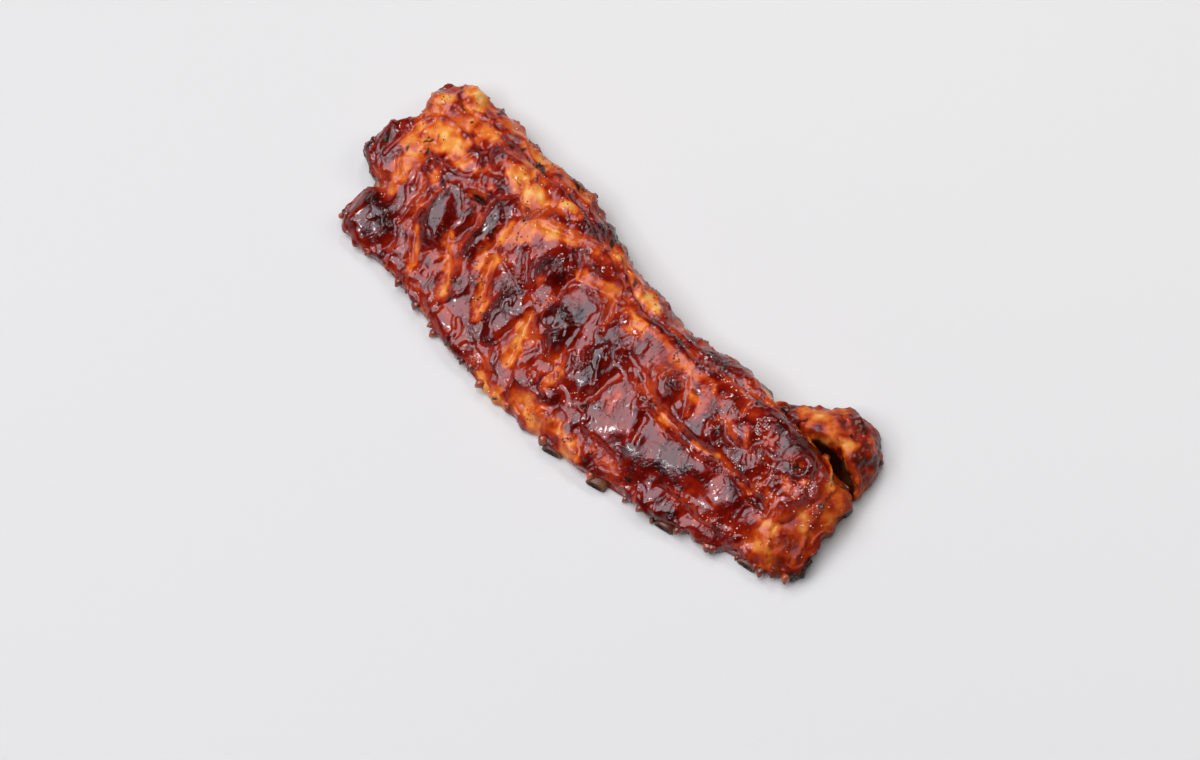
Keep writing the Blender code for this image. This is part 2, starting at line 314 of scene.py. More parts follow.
# %% Grooves and humps
# Grooves between ribs and along the loin: from x, y to x, y, half width, depth, all in mm
GROOVES = (
    (-144, -36, -131, -54, 3.2, 3.0), (-124, -27, -97, -58, 3.4, 3.4), (-89, -22, -70, -55, 3.8, 3.4),
    (-42, -30, -31, -62, 4.0, 3.2), (-150, -6, -152, -34, 2.0, 2.8), (-116, 14, -118, -26, 2.8, 2.8),
    (-96, -2, -96, -30, 3.8, 2.6), (-80, 19, -62, 25, 1.8, 2.2), (-74, -3, -60, -16, 2.6, 1.8),
    (-39, 10, -37, -12, 3.2, 3.0), (-44, -38, -50, -60, 2.6, 2.2), (-12, -30, 2, -52, 3.2, 2.8),
    (60, -20, 86, -22, 4.2, 4.4), (86, -22, 116, -19, 4.2, 4.6), (116, -19, 132, -17, 3.6, 3.0),
    (132, -17, 158, -21, 4.0, 4.2), (26, -8, 60, -20, 4.6, 3.0), (30, -22, 26, -42, 3.6, 2.6),
    (-6, 10, 2, -6, 2.6, 2.2), (66, 1, 82, -10, 4.6, 2.0), (100, 2, 118, -4, 2.6, 1.6),
    (-170, 36, -146, 32, 2.0, 1.8), (-138, 26, -118, 22, 2.4, 2.2), (-190, 26, -196, 6, 2.4, 2.4),
    (-186, -24, -174, -36, 4.0, 3.8), (-200, 10, -199, -12, 1.5, 2.6), (178, -20, 186, 20, 2.6, 2.0),
    (176, -24, 188, -44, 2.0, 2.2), (150, 0, 166, 8, 2.6, 2.0), (128, 5, 132, -8, 2.2, 1.8),
    (-160, -40, -150, -58, 2.8, 2.2), (-20, -56, 0, -62, 2.6, 1.8), (62, -30, 70, -46, 2.6, 1.4),
    (34, -64, 60, -62, 2.8, 1.8), (100, -56, 150, -50, 2.8, 1.4), (-132, 4, -118, 4, 3.4, 3.2),
    (168, 22, 176, 6, 2.2, 2.6), (-178, 52, -172, 64, 2.0, 2.0), (-190, 52, -182, 50, 1.8, 2.0),
)
# Humps: centre, half length, half width, turn in degrees, height
HUMPS = (
    (-172, -52, 17, 15, 0, 5.0), (-104, -12, 26, 7.0, 104, 4.4), (-136, -25, 20, 9, 112, 4.0),
    (-52, 2, 13, 12, 30, 4.2), (-20, -28, 19, 8.0, 122, 4.0), (-58, -38, 22, 8, 110, 2.6),
    (-22, -5, 15, 12, 0, 2.2), (-84, 6, 17, 12, 50, 2.2), (-24, 16, 16, 5.5, 22, 2.8),
    (-146, 17, 6.5, 6.5, 0, 3.2), (-168, 22, 22, 8, -8, 1.8), (-186, 60, 11, 8, 0, 5.0),
    (-196, 41, 9, 8, 0, 4.0), (-117, 33, 12, 9, 0, 2.8), (-99, 33, 9, 8, 0, 2.2), (-73, 41, 11, 6, 10, 3.0),
    (-55, 44, 14, 6, 35, 2.6), (15, -30, 16, 10, 110, 2.2), (46, -40, 18, 20, 90, 1.6),
    (112, -38, 46, 12, 0, 1.8), (34, 17, 34, 6, 3, 2.2), (84, 8, 9, 14, 0, 2.0), (119, 5, 10, 7, 0, 2.4),
    (140, 0, 10, 7, 0, 2.2), (152, 24, 22, 11, -14, 3.0), (178, -34, 9, 10, 30, 2.8),
    (2, -60, 14, 5, 20, 2.6), (48, -67, 4, 8, 45, 2.4), (-3, -40, 6, 7, 0, 2.8), (190, 10, 8, 24, 0, 1.8),
    (-208, -2, 4, 12, 8, 3.6), (-133, 33, 9, 7, 30, 2.4), (-124, 20, 10, 4.5, 10, 2.4),
    (170, 0, 9, 6, 60, 2.2), (200, -38, 6, 12, 10, 2.4), (-131, 57, 9, 4, 0, 1.8), (-158, 58, 11, 4, -6, 1.8),
    (-104, 57, 9, 4, 0, 2.0), (-30, 41, 12, 4, -28, 2.4), (-5, 33, 9, 4, -18, 2.0), (16, 32, 9, 4, 6, 1.8),
    (60, 32, 12, 4, 4, 2.0), (88, 38, 10, 5, 6, 1.8), (8, -72, 9, 4, 8, 2.6), (38, -74, 8, 3.5, 0, 2.2),
    (-26, -78, 14, 4, 0, 1.6), (98, -68, 12, 4, 8, 2.0), (-95, -66, 12, 5, -10, 1.8),
    (-128, -60, 12, 5, 6, 1.8), (188, -44, 7, 6, 0, 2.6), (174, -46, 6, 6, 0, 2.2),
)
print(len(GROOVES), "grooves and", len(HUMPS), "humps")

# %% Hollows, rims and ridges
# Hollows: centre, half length, half width, turn in degrees, depth
HOLLOWS = (
    (-163, 1, 4.6, 3.2, 0, 3.0), (-125, 5, 7.5, 2.6, 12, 3.2), (160, 14, 3.6, 2.8, -20, 5.0),
    (-205, -3, 1.6, 6, 15, 2.6), (-184, 13, 3.4, 2.0, 40, 1.8), (-178, 6, 2.4, 3.6, -50, 1.8),
    (203, -36, 3.6, 3.0, 0, 2.4), (-114, 51, 8, 1.6, 0, 2.2), (-84, 56, 6, 1.8, -10, 2.0),
    (-162, 52, 6, 1.6, 0, 1.6), (28, -50, 4.5, 2.2, -35, 2.0), (184, -30, 3, 1.6, 60, 1.6),
)
# Rims of set glaze round a pool or a crater, in the same terms, with their height
RIMS = (
    (-166, 19, 27, 13, -8, 2.2), (-163, 1, 6.6, 4.8, 0, 1.9), (-146, 17, 8.5, 8.5, 0, 1.6),
    (-97, 17, 2.6, 2.6, 0, 1.3), (160, 14, 6.2, 5.2, -20, 1.5), (29, -51, 3.0, 2.4, 0, 1.4),
    (34, -54, 2.2, 2.2, 0, 1.2), (126, -47, 2.0, 2.0, 0, 1.2), (158, 4, 4.2, 3.6, 0, 1.3),
    (118, 33, 5, 3, 0, 1.0), (-125, 6, 9, 5, 12, 1.2), (-118, 33, 15, 10, 10, 0.8), (-22, -6, 17, 14, 0, 0.5),
    (104, 12, 2.4, 2.4, 0, 1.0),
)
# Sharp ridges of pulled sauce: from x, y to x, y, half width, height
RIDGES = (
    (-101, -3, -95, -17, 1.2, 1.5), (-91, -12, -72, -18, 1.2, 1.6), (-72, -18, -55, -23, 1.2, 1.4),
    (-106, 22, -111, -2, 1.3, 1.4), (-111, -2, -109, -28, 1.3, 1.4), (-76, 22, -54, 31, 1.2, 1.5),
    (-54, 31, -33, 39, 1.2, 1.5), (47, 24, 71, 22, 1.1, 1.6), (71, 22, 87, 29, 1.1, 1.8),
    (87, 29, 112, 25, 1.1, 1.6), (112, 25, 127, 32, 1.1, 1.4), (137, 34, 152, 36, 1.1, 1.5),
    (152, 36, 171, 32, 1.1, 1.6), (171, 32, 183, 22, 1.1, 1.6), (-36, -4, -36, 10, 1.2, 1.4),
    (-156, -8, -158, -40, 1.2, 1.3), (-148, -2, -128, 6, 1.1, 1.4), (-190, -4, -180, -24, 1.2, 1.2),
    (-124, -2, -122, -26, 1.1, 1.2), (-66, 0, -60, -12, 1.1, 1.2), (12, -12, 24, -40, 1.2, 1.4),
    (60, -26, 84, -30, 1.1, 0.8), (-12, -16, -30, -40, 1.1, 1.2), (180, 24, 196, 28, 1.3, 1.4),
    (184, 18, 190, -6, 1.4, 1.4), (190, -8, 198, -26, 1.4, 1.6), (176, -30, 186, -18, 1.2, 1.2),
    (-186, 50, -178, 64, 1.4, 1.8), (-60, -64, -30, -72, 1.2, 1.0),
)
print(len(HOLLOWS), "hollows,", len(RIMS), "rims and", len(RIDGES), "ridges")

# %% Smooth places and creases
# Where the sauce has settled smooth: centre, half length, half width, turn in degrees, how smooth
CALM = (
    (-22, -6, 18, 14, 0, 0.95), (56, -44, 26, 20, 0, 0.95), (98, -38, 32, 13, 0, 0.95),
    (134, -37, 20, 11, 0, 0.85), (-82, 10, 20, 9, 40, 0.85), (34, 14, 30, 8, 0, 0.85),
    (82, 9, 15, 12, 0, 0.9), (152, 24, 24, 10, -14, 0.85), (-166, 20, 22, 9, -8, 0.7),
    (-44, 28, 22, 6, 24, 0.75), (-24, 14, 16, 7, 10, 0.8), (32, -20, 8, 16, 0, 0.7), (-52, 3, 10, 8, 30, 0.5),
    (-172, -50, 12, 10, 0, 0.4), (-118, 33, 10, 7, 0, 0.5), (112, 10, 8, 6, 0, 0.4),
)
# Creases where the loin turns over to the far side, through x, y stations
FAR_CREASES = (
    ((-178, 49), (-150, 50), (-114, 50.5), (-85, 49), (-60, 45), (-40, 39)),
    ((-38, 43), (-20, 38), (-6, 30), (6, 26), (20, 25), (38, 26), (62, 23), (72, 27), (98, 30), (128, 32)),
)
FAR_CREASE_DEPTH, FAR_CREASE_HALF_WIDTH = 2.4, 1.8
print(len(CALM), "smooth places and", len(FAR_CREASES), "creases")


# %% The relief from the lists
HAND_SEED = 20


def relief_of(points):
    """Millimetres in and out from the lists: humps, rims and ridges, less grooves, hollows and creases."""
    plan = wander(points, HAND_SEED)
    out = total(plan, HUMPS, patch, edge=3.2) - total(plan, GROOVES, stroke, edge=2.0)
    out = out + total(plan, RIMS, rim) - total(plan, HOLLOWS, patch, edge=2.6)
    out = out + total(plan, RIDGES, stroke, edge=1.5)
    for crease in FAR_CREASES:
        place = np.clip(plan[0], crease[0][0], crease[-1][0])
        gap = np.hypot(plan[1] - through(crease, place), plan[0] - place)
        out = out - FAR_CREASE_DEPTH * np.exp(-((gap / FAR_CREASE_HALF_WIDTH) ** 2))
    return out


hand_relief = relief_of(slab)
print("relief by hand, mm:", round(hand_relief.min(), 1), "to", round(hand_relief.max(), 1))

# %% [markdown]
# ## Sauce over meat
#
# Brushed sauce dries in sheets with rounded rims, runs down into the grooves and wrinkles as it sets. The
# sheets are noise cut off at a level, with a rim raised along the cut. The folds are noise turned positive,
# which gives round backs with creases between them, and the wrinkles are thin crests. Both are drawn out
# along the ribs. All of it moves along the surface's normal, so the sides get it too, and they hang in
# folds of their own.

# %% Fine relief
# Sizes are metres, and steps, rims and heights are mm
SHEET_SIZE, SHEET_STEP, SHEET_RIM = 0.019, 0.8, 0.55
FOLD_SIZE, FOLD_HEIGHT = 0.019, 2.0
WRINKLE_SIZE, WRINKLE_HEIGHT = 0.0078, 0.65
SMALL_WRINKLE_SIZE = 0.42 * WRINKLE_SIZE
LUMP_SIZE, LUMP_HEIGHT = 0.030, 3.2
GRAIN_SIZE, GRAIN_HEIGHT, GRAIN_MORE = 0.0042, 0.05, 0.22
SIDE_FOLD_SIZE, SIDE_FOLD_HEIGHT = 0.013, 4.4
SIDE_LUMP_SIZE, SIDE_LUMP_HEIGHT = 0.006, 1.3
# Folds and crests are never below 0, so about their mean is taken off
MEAN_FOLD = 0.3
MEAN_SIDE_FOLD = 0.28
# What pushes the points about first: the size of its noise, its reach and its seed
SHEET_SWIRL, FOLD_SWIRL, SMALL_SWIRL = (0.016, 0.006, 31), (0.012, 0.0045, 41), (0.004, 0.0014, 47)
# How many times longer things are along the ribs than across them, and how the ribs lean
SHEET_DRAW, FOLD_DRAW, WRINKLE_DRAW, SMALL_DRAW = 1.7, 1.9, 2.4, 1.5
RIB_LEAN = 0.42
# The levels of noise where a sheet begins and is whole, and the middle and the width of its rim
SHEET_LEVELS, RIM_LEVEL, RIM_SPREAD = (-0.03, 0.08), 0.06, 0.07
# Wrinkles come and go between two levels of a wide noise
WRINKLED_SIZE, WRINKLED_LEVELS = 0.024, (-0.15, 0.4)
# What a smooth place takes off lumps, sheets and folds, as shares
CALM_LUMPS, CALM_SHEETS, CALM_FOLDS = 0.35, 0.8, 0.85
# A side is where the normal lies this flat, and its folds hang down it
SIDE_LEVELS, SIDE_HANG = (0.35, 0.9), 0.45


def drawn_out(points, factor):
    """The points squeezed along the ribs by that factor, so that noise on them is drawn out that way."""
    c, s = math.cos(RIB_LEAN), math.sin(RIB_LEAN)
    along = points[..., 1] * c - points[..., 0] * s
    across = points[..., 0] * c + points[..., 1] * s
    return np.stack([across, along / factor, points[..., 2]], axis=-1)


def warped(points, size, reach, seed):
    """The points pushed about by noise of that size, so that what is drawn on them swirls."""
    push = np.stack([noise(points, size, seed + k) for k in range(3)], axis=-1)
    return points + reach * push


def sheets_of(points):
    """How far a sheet of sauce covers each point, from 0 to 1, and how near it is to the sheet's rim."""
    level = cloud(drawn_out(warped(points, *SHEET_SWIRL), SHEET_DRAW), SHEET_SIZE, 3, 34)
    return ease(*SHEET_LEVELS, level), np.exp(-(((level - RIM_LEVEL) / RIM_SPREAD) ** 2))


def fine_relief(points, sheets, rims, calm):
    """Millimetres in and out by rule: lumps, sheets and their rims, folds, and wrinkles that come and go."""
    swirl = warped(points, *FOLD_SWIRL)
    strength = ease(*WRINKLED_LEVELS, noise(points, WRINKLED_SIZE, 44)) * (1 - calm)
    folds = np.abs(noise(drawn_out(swirl, FOLD_DRAW), FOLD_SIZE, 45)) - MEAN_FOLD
    wrinkles = crests(drawn_out(swirl, WRINKLE_DRAW), WRINKLE_SIZE, 46) - MEAN_FOLD
    fine = warped(points, *SMALL_SWIRL)
    small = crests(drawn_out(fine, SMALL_DRAW), SMALL_WRINKLE_SIZE, 48) - MEAN_FOLD
    return (
        LUMP_HEIGHT * (1 - CALM_LUMPS * calm) * cloud(points, LUMP_SIZE, 2, 51)
        + (SHEET_STEP * sheets + SHEET_RIM * rims) * (1 - CALM_SHEETS * calm)
        + FOLD_HEIGHT * (1 - CALM_FOLDS * calm) * folds
        + WRINKLE_HEIGHT * strength * (wrinkles + 0.5 * small)
        + (GRAIN_HEIGHT + GRAIN_MORE * strength) * noise(points, GRAIN_SIZE, 55)
    )


def ragged_sides(points, normals):
    """Millimetres in and out on the sides only: folds about a centimetre wide that hang down the side."""
    hanging = points * (1, 1, SIDE_HANG)
    sideways = ease(*SIDE_LEVELS, 1 - np.abs(normals[..., 2]))
    folds = np.abs(noise(hanging, SIDE_FOLD_SIZE, 58)) - MEAN_SIDE_FOLD
    return sideways * (SIDE_FOLD_HEIGHT * folds + SIDE_LUMP_HEIGHT * noise(hanging, SIDE_LUMP_SIZE, 59))


print("wrinkles are", WRINKLE_SIZE / MM, "mm apart, and small ones", round(SMALL_WRINKLE_SIZE / MM, 1))

# %% The slab's skin
# The foot keeps its flat shape: low down the relief is eased out, but for a little of it
FOOT_HEIGHT, FOOT_RELIEF = 0.006, 0.15

hand_plan = wander(slab, HAND_SEED)
slab_calm = total(hand_plan, CALM, patch, edge=3.0)
slab_sheets, slab_rims = sheets_of(slab)
slab_fine = fine_relief(slab, slab_sheets, slab_rims, slab_calm)
slab_relief = hand_relief + slab_fine + ragged_sides(slab, slab_normals)
above_foot = ease(0.0, FOOT_HEIGHT, slab[..., 2]) * ease(-0.2, 0.2, slab_normals[..., 2] + 0.35)
share = FOOT_RELIEF + (1 - FOOT_RELIEF) * above_foot
slab_shape = slab + slab_normals * (slab_relief * share * MM)[..., None]
slab_shape[..., 2] = np.maximum(slab_shape[..., 2] - SETTLE, 0)
print("relief, mm:", round(slab_relief.min(), 1), "to", round(slab_relief.max(), 1))

# %% [markdown]
# ## What the finish needs to know
#
# One material covers the slab, and four measures on its points tell it what lies where: how deep the sauce
# is, what has charred, with painted shade in some hollows, where it is dry, and what faces down. The depth
# does most of the work, because the same sauce is amber where it is thin over fat, orange over meat, brick
# red where it is brushed on and nearly black in a pool. Strokes and patches say where warm meat, golden fat
# and thick sauce lie, and pale lines on some ridges are a painted highlight.

# %% Thin sauce over meat
# Warm meat showing through: from x, y to x, y, half width, strength
WARM_STREAKS = (
    (-144, -37, -129, -56, 3.2, 0.7), (-124, -27, -97, -58, 3.6, 0.85), (-89, -20, -70, -55, 4.0, 0.9),
    (-44, -32, -31, -62, 4.2, 0.75), (-94, 0, -76, 16, 9.0, 0.95), (-78, 15, -42, 31, 5.0, 1.0),
    (-35, 10, -11, 18, 4.6, 1.0), (3, 14, 60, 14, 3.2, 0.9), (60, 14, 88, 10, 5.5, 0.8),
    (86, 12, 88, -8, 5.5, 0.65), (-185, -2, -176, -26, 6.0, 0.9), (-178, 42, -130, 42, 4.0, 0.9),
    (-6, -70, 20, -71, 6.0, 1.0), (30, -71, 44, -70, 5.0, 0.9), (-40, -79, -8, -83, 3.0, 0.7),
    (66, -21, 84, -22, 2.6, 0.7), (98, -20, 116, -19, 2.6, 0.7), (138, -21, 150, -20, 2.2, 0.6),
    (-1, -46, 0, -56, 4.0, 0.9), (158, 2, 168, -2, 4.0, 0.8), (174, -26, 186, -44, 6.0, 0.9),
    (-100, -12, -92, -30, 4.0, 0.7), (100, 4, 118, 0, 4.0, 0.6), (-38, 40, -6, 33, 7.0, 0.7),
    (-52, -8, -38, -16, 6.0, 0.6), (4, 6, 14, 2, 7.0, 0.45), (-150, -10, -160, -4, 5.0, 0.7),
    (-26, -55, -40, -44, 3.0, 0.5), (120, 8, 126, 2, 4.0, 0.6), (40, -30, 44, -50, 7.0, 0.3),
    (195, 20, 190, -30, 12.0, 0.45),
)
# Broad fields of thin sauce over meat: centre, half length, half width, turn in degrees, strength
WARM_FIELDS = (
    (-184, 30, 24, 34, 0, 0.85), (-160, 46, 36, 7, -3, 0.6), (-115, 57, 54, 6, -3, 0.9),
    (-104, 31, 26, 10, -10, 0.5), (-84, 10, 19, 11, 42, 0.7), (-62, 26, 24, 6, 24, 0.6),
    (-20, 14, 20, 8, 15, 0.6), (4, 34, 24, 8, -10, 0.75), (40, 12, 34, 8, 2, 0.45), (84, 8, 16, 12, 0, 0.5),
    (8, -74, 24, 7, 0, 0.7), (38, -74, 12, 5, 0, 0.65), (190, 6, 14, 28, 0, 0.45), (180, -35, 11, 11, 0, 0.8),
    (-26, -82, 22, 5, 0, 0.6), (-60, 40, 14, 6, 30, 0.3), (108, 36, 22, 6, -4, 0.5),
    (160, 10, 14, 10, 0, 0.4), (-182, -8, 12, 14, 20, 0.6), (-120, -60, 14, 8, 0, 0.3),
    (120, -52, 30, 8, 0, 0.25), (60, -66, 20, 8, 0, 0.35), (-102, -52, 9, 7, -50, 0.65),
    (-75, -47, 10, 7, -60, 0.7), (-134, -51, 7, 6, -50, 0.5), (-128, 44, 28, 6, -3, 0.6),
    (-128, 21, 22, 9, 0, 0.45), (-34, -56, 9, 7, -60, 0.6), (-108, -36, 10, 5, 10, 0.4),
)
print(len(WARM_STREAKS), "warm streaks and", len(WARM_FIELDS), "warm fields")

# %% Golden fat, and painted highlights on ridges
# Patches: centre, half length, half width, turn in degrees, strength
GOLD_PATCHES = (
    (-186, 60, 12, 7, -6, 1.0), (-196, 42, 8, 8, 0, 0.85), (-165, 21, 24, 10, -6, 1.0),
    (-150, 16, 10, 7, 20, 0.9), (-117, 32, 11, 8, -20, 0.9), (-100, 31, 8, 8, 0, 0.85),
    (-73, 40, 11, 5, 12, 0.95), (-66, 20, 16, 3.5, 24, 0.6), (-140, 57, 34, 4, 0, 0.6),
    (8, 32, 15, 4, -16, 0.9), (-28, 14, 10, 3, 20, 0.5), (174, -38, 5, 4, 30, 0.6), (110, 38, 10, 3, -4, 0.8),
    (150, 36, 14, 2.2, -12, 0.8), (-28, -83, 16, 3, -4, 0.8), (74, -22, 6, 2.0, -6, 0.8),
    (106, -20, 7, 2.0, 4, 0.7), (186, 8, 6, 10, 0, 0.3), (180, -34, 6, 6, 0, 0.6), (-206, 42, 6, 8, 0, 0.5),
    (-176, -12, 5, 8, 20, 0.5), (-205, -14, 5, 3, 20, 0.5),
)
# Pale lines where a sheet of sauce stops on a ridge, partly golden fat and partly a painted highlight on the
# ridge: from x, y to x, y, half width, strength
FAT_AND_HIGHLIGHT_LINES = (
    (137, 34, 152, 36, 1.3, 0.8), (152, 36, 171, 32, 1.4, 0.9), (171, 32, 183, 22, 1.4, 0.9),
    (47, 24, 71, 22, 0.9, 0.6), (71, 22, 87, 29, 0.9, 0.6), (-36, 42, -8, 36, 1.6, 0.7),
    (-74, 46, -50, 44, 1.4, 0.6), (-142, 6, -138, 24, 1.0, 0.6),
)
print(len(GOLD_PATCHES), "patches and", len(FAT_AND_HIGHLIGHT_LINES), "edges of golden fat")

# %% Char, and painted shade in hollows
# Patches: centre, half length, half width, turn in degrees, strength. Those in a hole, slit or cavity are
# painted shade as well as char
CHAR_AND_SHADE_PATCHES = (
    (-184, 13, 3.0, 1.8, 40, 0.9), (-178, 6, 3.6, 2.0, -50, 0.8), (-190, 1, 2.0, 3.5, 20, 0.7),
    (-182, 46, 3, 1.4, 0, 0.8), (-162, 60, 2.4, 1.6, 0, 0.9), (-114, 51, 6, 1.2, 0, 0.9),
    (-88, 58, 9, 1.6, -10, 0.8), (-62, 55, 20, 1.2, -10, 0.7), (-40, 46, 8, 1.8, -40, 0.8),
    (-26, 38, 8, 1.2, -20, 0.7), (201, 13, 2.4, 15, 0, 1.0), (203, -36, 5, 4, 0, 0.9),
    (-196, 57, 2, 2, 0, 0.7), (-204, -3, 2.0, 5, 20, 0.8), (-125, 4, 6, 2.2, 12, 1.0),
    (29, -51, 4, 1.8, -35, 0.8), (160, 13, 3.4, 2.4, -20, 1.0), (180, 26, 3, 8, 35, 0.6),
    (52, -80, 6, 3, 0, 0.6), (-8, 32, 4, 1.6, -40, 0.8), (96, -27, 3.4, 0.9, -40, 0.6),
    (76, -41, 7, 1.0, 15, 0.5), (82, -63, 4, 2.2, 0, 0.7), (184, -46, 5, 2.5, 10, 0.6),
    (-108, 40, 1.6, 1.6, 0, 0.8), (-96, -77, 8, 2, 0, 0.4), (-148, 30, 1.6, 1.6, 0, 0.8),
    (-160, 10, 1.2, 1.2, 0, 0.8), (-152, 24, 1.2, 1.2, 0, 0.8), (-90, 12, 1.4, 1.2, 0, 0.8),
    (-140, 44, 1.4, 1.4, 0, 0.7), (-171, 44, 1.6, 1.2, 0, 0.8), (-100, 54, 3, 1.6, 0, 0.8),
    (-130, 52, 3, 1.4, 0, 0.7), (-40, -84, 6, 1.6, 0, 0.6), (112, 40, 4, 1.2, 0, 0.6),
)
# Burnt edges of folds: from x, y to x, y, half width, strength
BURNT_LINES = (
    (201, -4, 202, 28, 2.4, 0.8), (196, 30, 180, 28, 2.0, 0.45), (184, 18, 189, -6, 2.0, 0.42),
    (190, -8, 199, -26, 2.2, 0.42), (174, -24, 184, -46, 1.8, 0.38), (203, -14, 204, -36, 2.4, 0.7),
    (196, -46, 176, -54, 2.4, 0.6), (170, -56, 120, -66, 1.6, 0.4), (193, -22, 196, -38, 1.8, 0.42),
    (183, -10, 177, -20, 1.8, 0.4), (-190, 50, -183, 48, 1.6, 0.42), (-199, 33, -203, 22, 1.6, 0.42),
    (-60, 57, -30, 44, 1.8, 0.5), (-170, 57, -130, 55, 1.4, 0.4), (-196, -24, -204, -32, 1.6, 0.4),
    (20, -58, 30, -46, 1.4, 0.5), (66, -40, 88, -37, 0.9, 0.45), (94, -30, 98, -26, 1.0, 0.5),
)
print(len(CHAR_AND_SHADE_PATCHES), "burnt patches and", len(BURNT_LINES), "burnt edges")

# %% Thick sauce
# Patches: centre, half length, half width, turn in degrees, strength
THICK_PATCHES = (
    (-104, -12, 27, 8, 104, 1.0), (-52, 3, 14, 12, 30, 1.0), (-136, -26, 20, 10, 112, 0.8),
    (-172, -50, 20, 16, 0, 0.9), (-58, -38, 24, 10, 110, 0.9), (-20, -20, 22, 14, 120, 0.9),
    (15, -28, 22, 14, 110, 1.0), (110, -38, 56, 13, 0, 0.5), (100, -22, 60, 3, 0, 0.8),
    (-136, 33, 10, 8, 20, 0.45), (-52, 44, 18, 6, 35, 0.8), (34, 21, 36, 4, 0, 0.9), (70, 33, 32, 6, 4, 0.9),
    (152, 22, 24, 12, -14, 0.6), (120, -6, 40, 8, 0, 0.7), (26, -14, 18, 14, 0, 0.9),
    (76, -13, 18, 6, 0, 0.7), (128, 2, 16, 5, -10, 0.8), (96, 16, 9, 5, 20, 0.8), (146, 10, 9, 5, 30, 0.7),
    (110, -24, 30, 3, 0, 0.8), (60, -6, 8, 6, 0, 0.7), (150, -30, 12, 6, 20, 0.6), (120, -56, 40, 8, 10, 0.6),
    (-120, -10, 6, 12, 20, 0.6), (-170, -20, 8, 14, 10, 0.6), (-116, 20, 12, 8, 0, 0.3),
    (-205, 5, 6, 18, 8, 0.7), (-85, -40, 12, 16, 20, 0.4), (50, -55, 20, 10, 0, 0.6),
    (191, -24, 12, 26, 0, 0.45), (172, -48, 14, 8, 20, 0.4),
)
print(len(THICK_PATCHES), "pools of thick sauce")

# %% The depth of the sauce
SAUCE_USUAL, SAUCE_POOLED, SAUCE_OVER_FAT = 0.62, 0.92, 0.08
TEAR = 0.36
# Depth added in a sheet, taken off along its rim, and added or taken off by chance, there and over fat
IN_SHEET, OFF_RIM, BY_CHANCE, BY_CHANCE_OVER_FAT = 0.12, 0.14, 0.14, 0.20
# Depth added for each mm that the skin is raised, within limits in mm, and added where it sinks deep
PER_MM, RAISED_LIMITS, IF_SUNK, SUNK_LEVELS = 0.05, (-1.5, 2.5), 0.14, (1.8, 4.0)
# How far a pool fills up, and the depth taken off over warm meat
POOL_FILL, OFF_MEAT = 0.75, 0.33


def ragged(points, amount, size, seed, full=0.65):
    """A mask with a torn edge: eased from 0 at 0.2 to 1 at full, after a cloud is added where it isn't 0."""
    return ease(0.2, full, amount + TEAR * cloud(points, size, 3, seed) * np.minimum(4 * amount, 1))


def sauce_depth(points, sheets, rims, warm, gold_and_highlights, thick, raised):
    """How deep the sauce lies, 0 to 1: more in sheets, pools and on raised backs, less over meat, over fat
    and along pale lines that are painted highlights on ridges.
    """
    depth = SAUCE_USUAL + IN_SHEET * (sheets - 0.5) - OFF_RIM * rims + BY_CHANCE * cloud(points, 0.014, 3, 62)
    depth = depth + PER_MM * np.clip(raised, *RAISED_LIMITS) + IF_SUNK * ease(*SUNK_LEVELS, -raised)
    depth = depth + thick * (SAUCE_POOLED - depth) * POOL_FILL
    depth = depth - OFF_MEAT * warm * (0.85 + 0.5 * noise(points, 0.006, 65))
    over_fat_and_highlights = SAUCE_OVER_FAT + BY_CHANCE_OVER_FAT * cloud(points, 0.008, 3, 66)
    return depth * (1 - gold_and_highlights) + gold_and_highlights * over_fat_and_highlights


print("usual depth", SAUCE_USUAL, "and in a pool", SAUCE_POOLED)

# %% The measures on the slab
FINISH_SEED = 60
# A burnt place, a hollow with painted shade, and the underside are nearly dry
DRY_WHERE_BURNT = 0.9
# The underside is where the normal points down this far
UNDER_LEVELS = (-0.2, -0.7)
# Dry places in mm: towards the far end, and along the thick side, which leans
DRY_END, DRY_SIDE, DRY_SIDE_LEAN = (168, 186), (48, 56), 0.10

plan = wander(slab, FINISH_SEED)
warm = np.maximum(total(plan, WARM_STREAKS, stroke), total(plan, WARM_FIELDS, patch, edge=3.0))
warm = ragged(slab, warm, 0.010, 101)
# Golden fat, with pale lines along some ridges that are a painted highlight
gold_and_highlights = np.maximum(total(plan, GOLD_PATCHES, patch, edge=3.0), total(hand_plan, FAT_AND_HIGHLIGHT_LINES, stroke))
gold_and_highlights = ragged(slab, gold_and_highlights, 0.009, 105, full=1.05)
thick = total(plan, THICK_PATCHES, patch)
measures = {
    "sauce": sauce_depth(slab, slab_sheets, slab_rims, warm, gold_and_highlights, thick, slab_relief),
    "char_and_shade": np.maximum(total(plan, CHAR_AND_SHADE_PATCHES, patch), total(hand_plan, BURNT_LINES, stroke)),
    "dry": 0.7 * ease(*DRY_END, plan[0]) + 0.5 * ease(*DRY_SIDE, plan[1] + DRY_SIDE_LEAN * plan[0]),
    "under": ease(*UNDER_LEVELS, slab_normals[..., 2]),
}
burnt_shaded_or_under = np.maximum(measures["char_and_shade"], measures["under"])
measures["dry"] = np.maximum(measures["dry"], DRY_WHERE_BURNT * burnt_shaded_or_under)
print({name: round(float(value.mean()), 3) for name, value in measures.items()})

# %% [markdown]
# ## From a grid to a mesh
#
# Rings and spokes make four-cornered faces, and a fan closes each end. Blender takes the arrays whole,
# which is far quicker than adding faces one at a time. The volume inside tells whether the faces look
# outwards, and the solid's box how far the skin stands proud of it.

# %% Measure a mesh
def corners_of(mesh):
    """The mesh's points as rows of x, y and z."""
    flat = np.empty(len(mesh.vertices) * 3)
    mesh.vertices.foreach_get("co", flat)
    return flat.reshape(-1, 3)


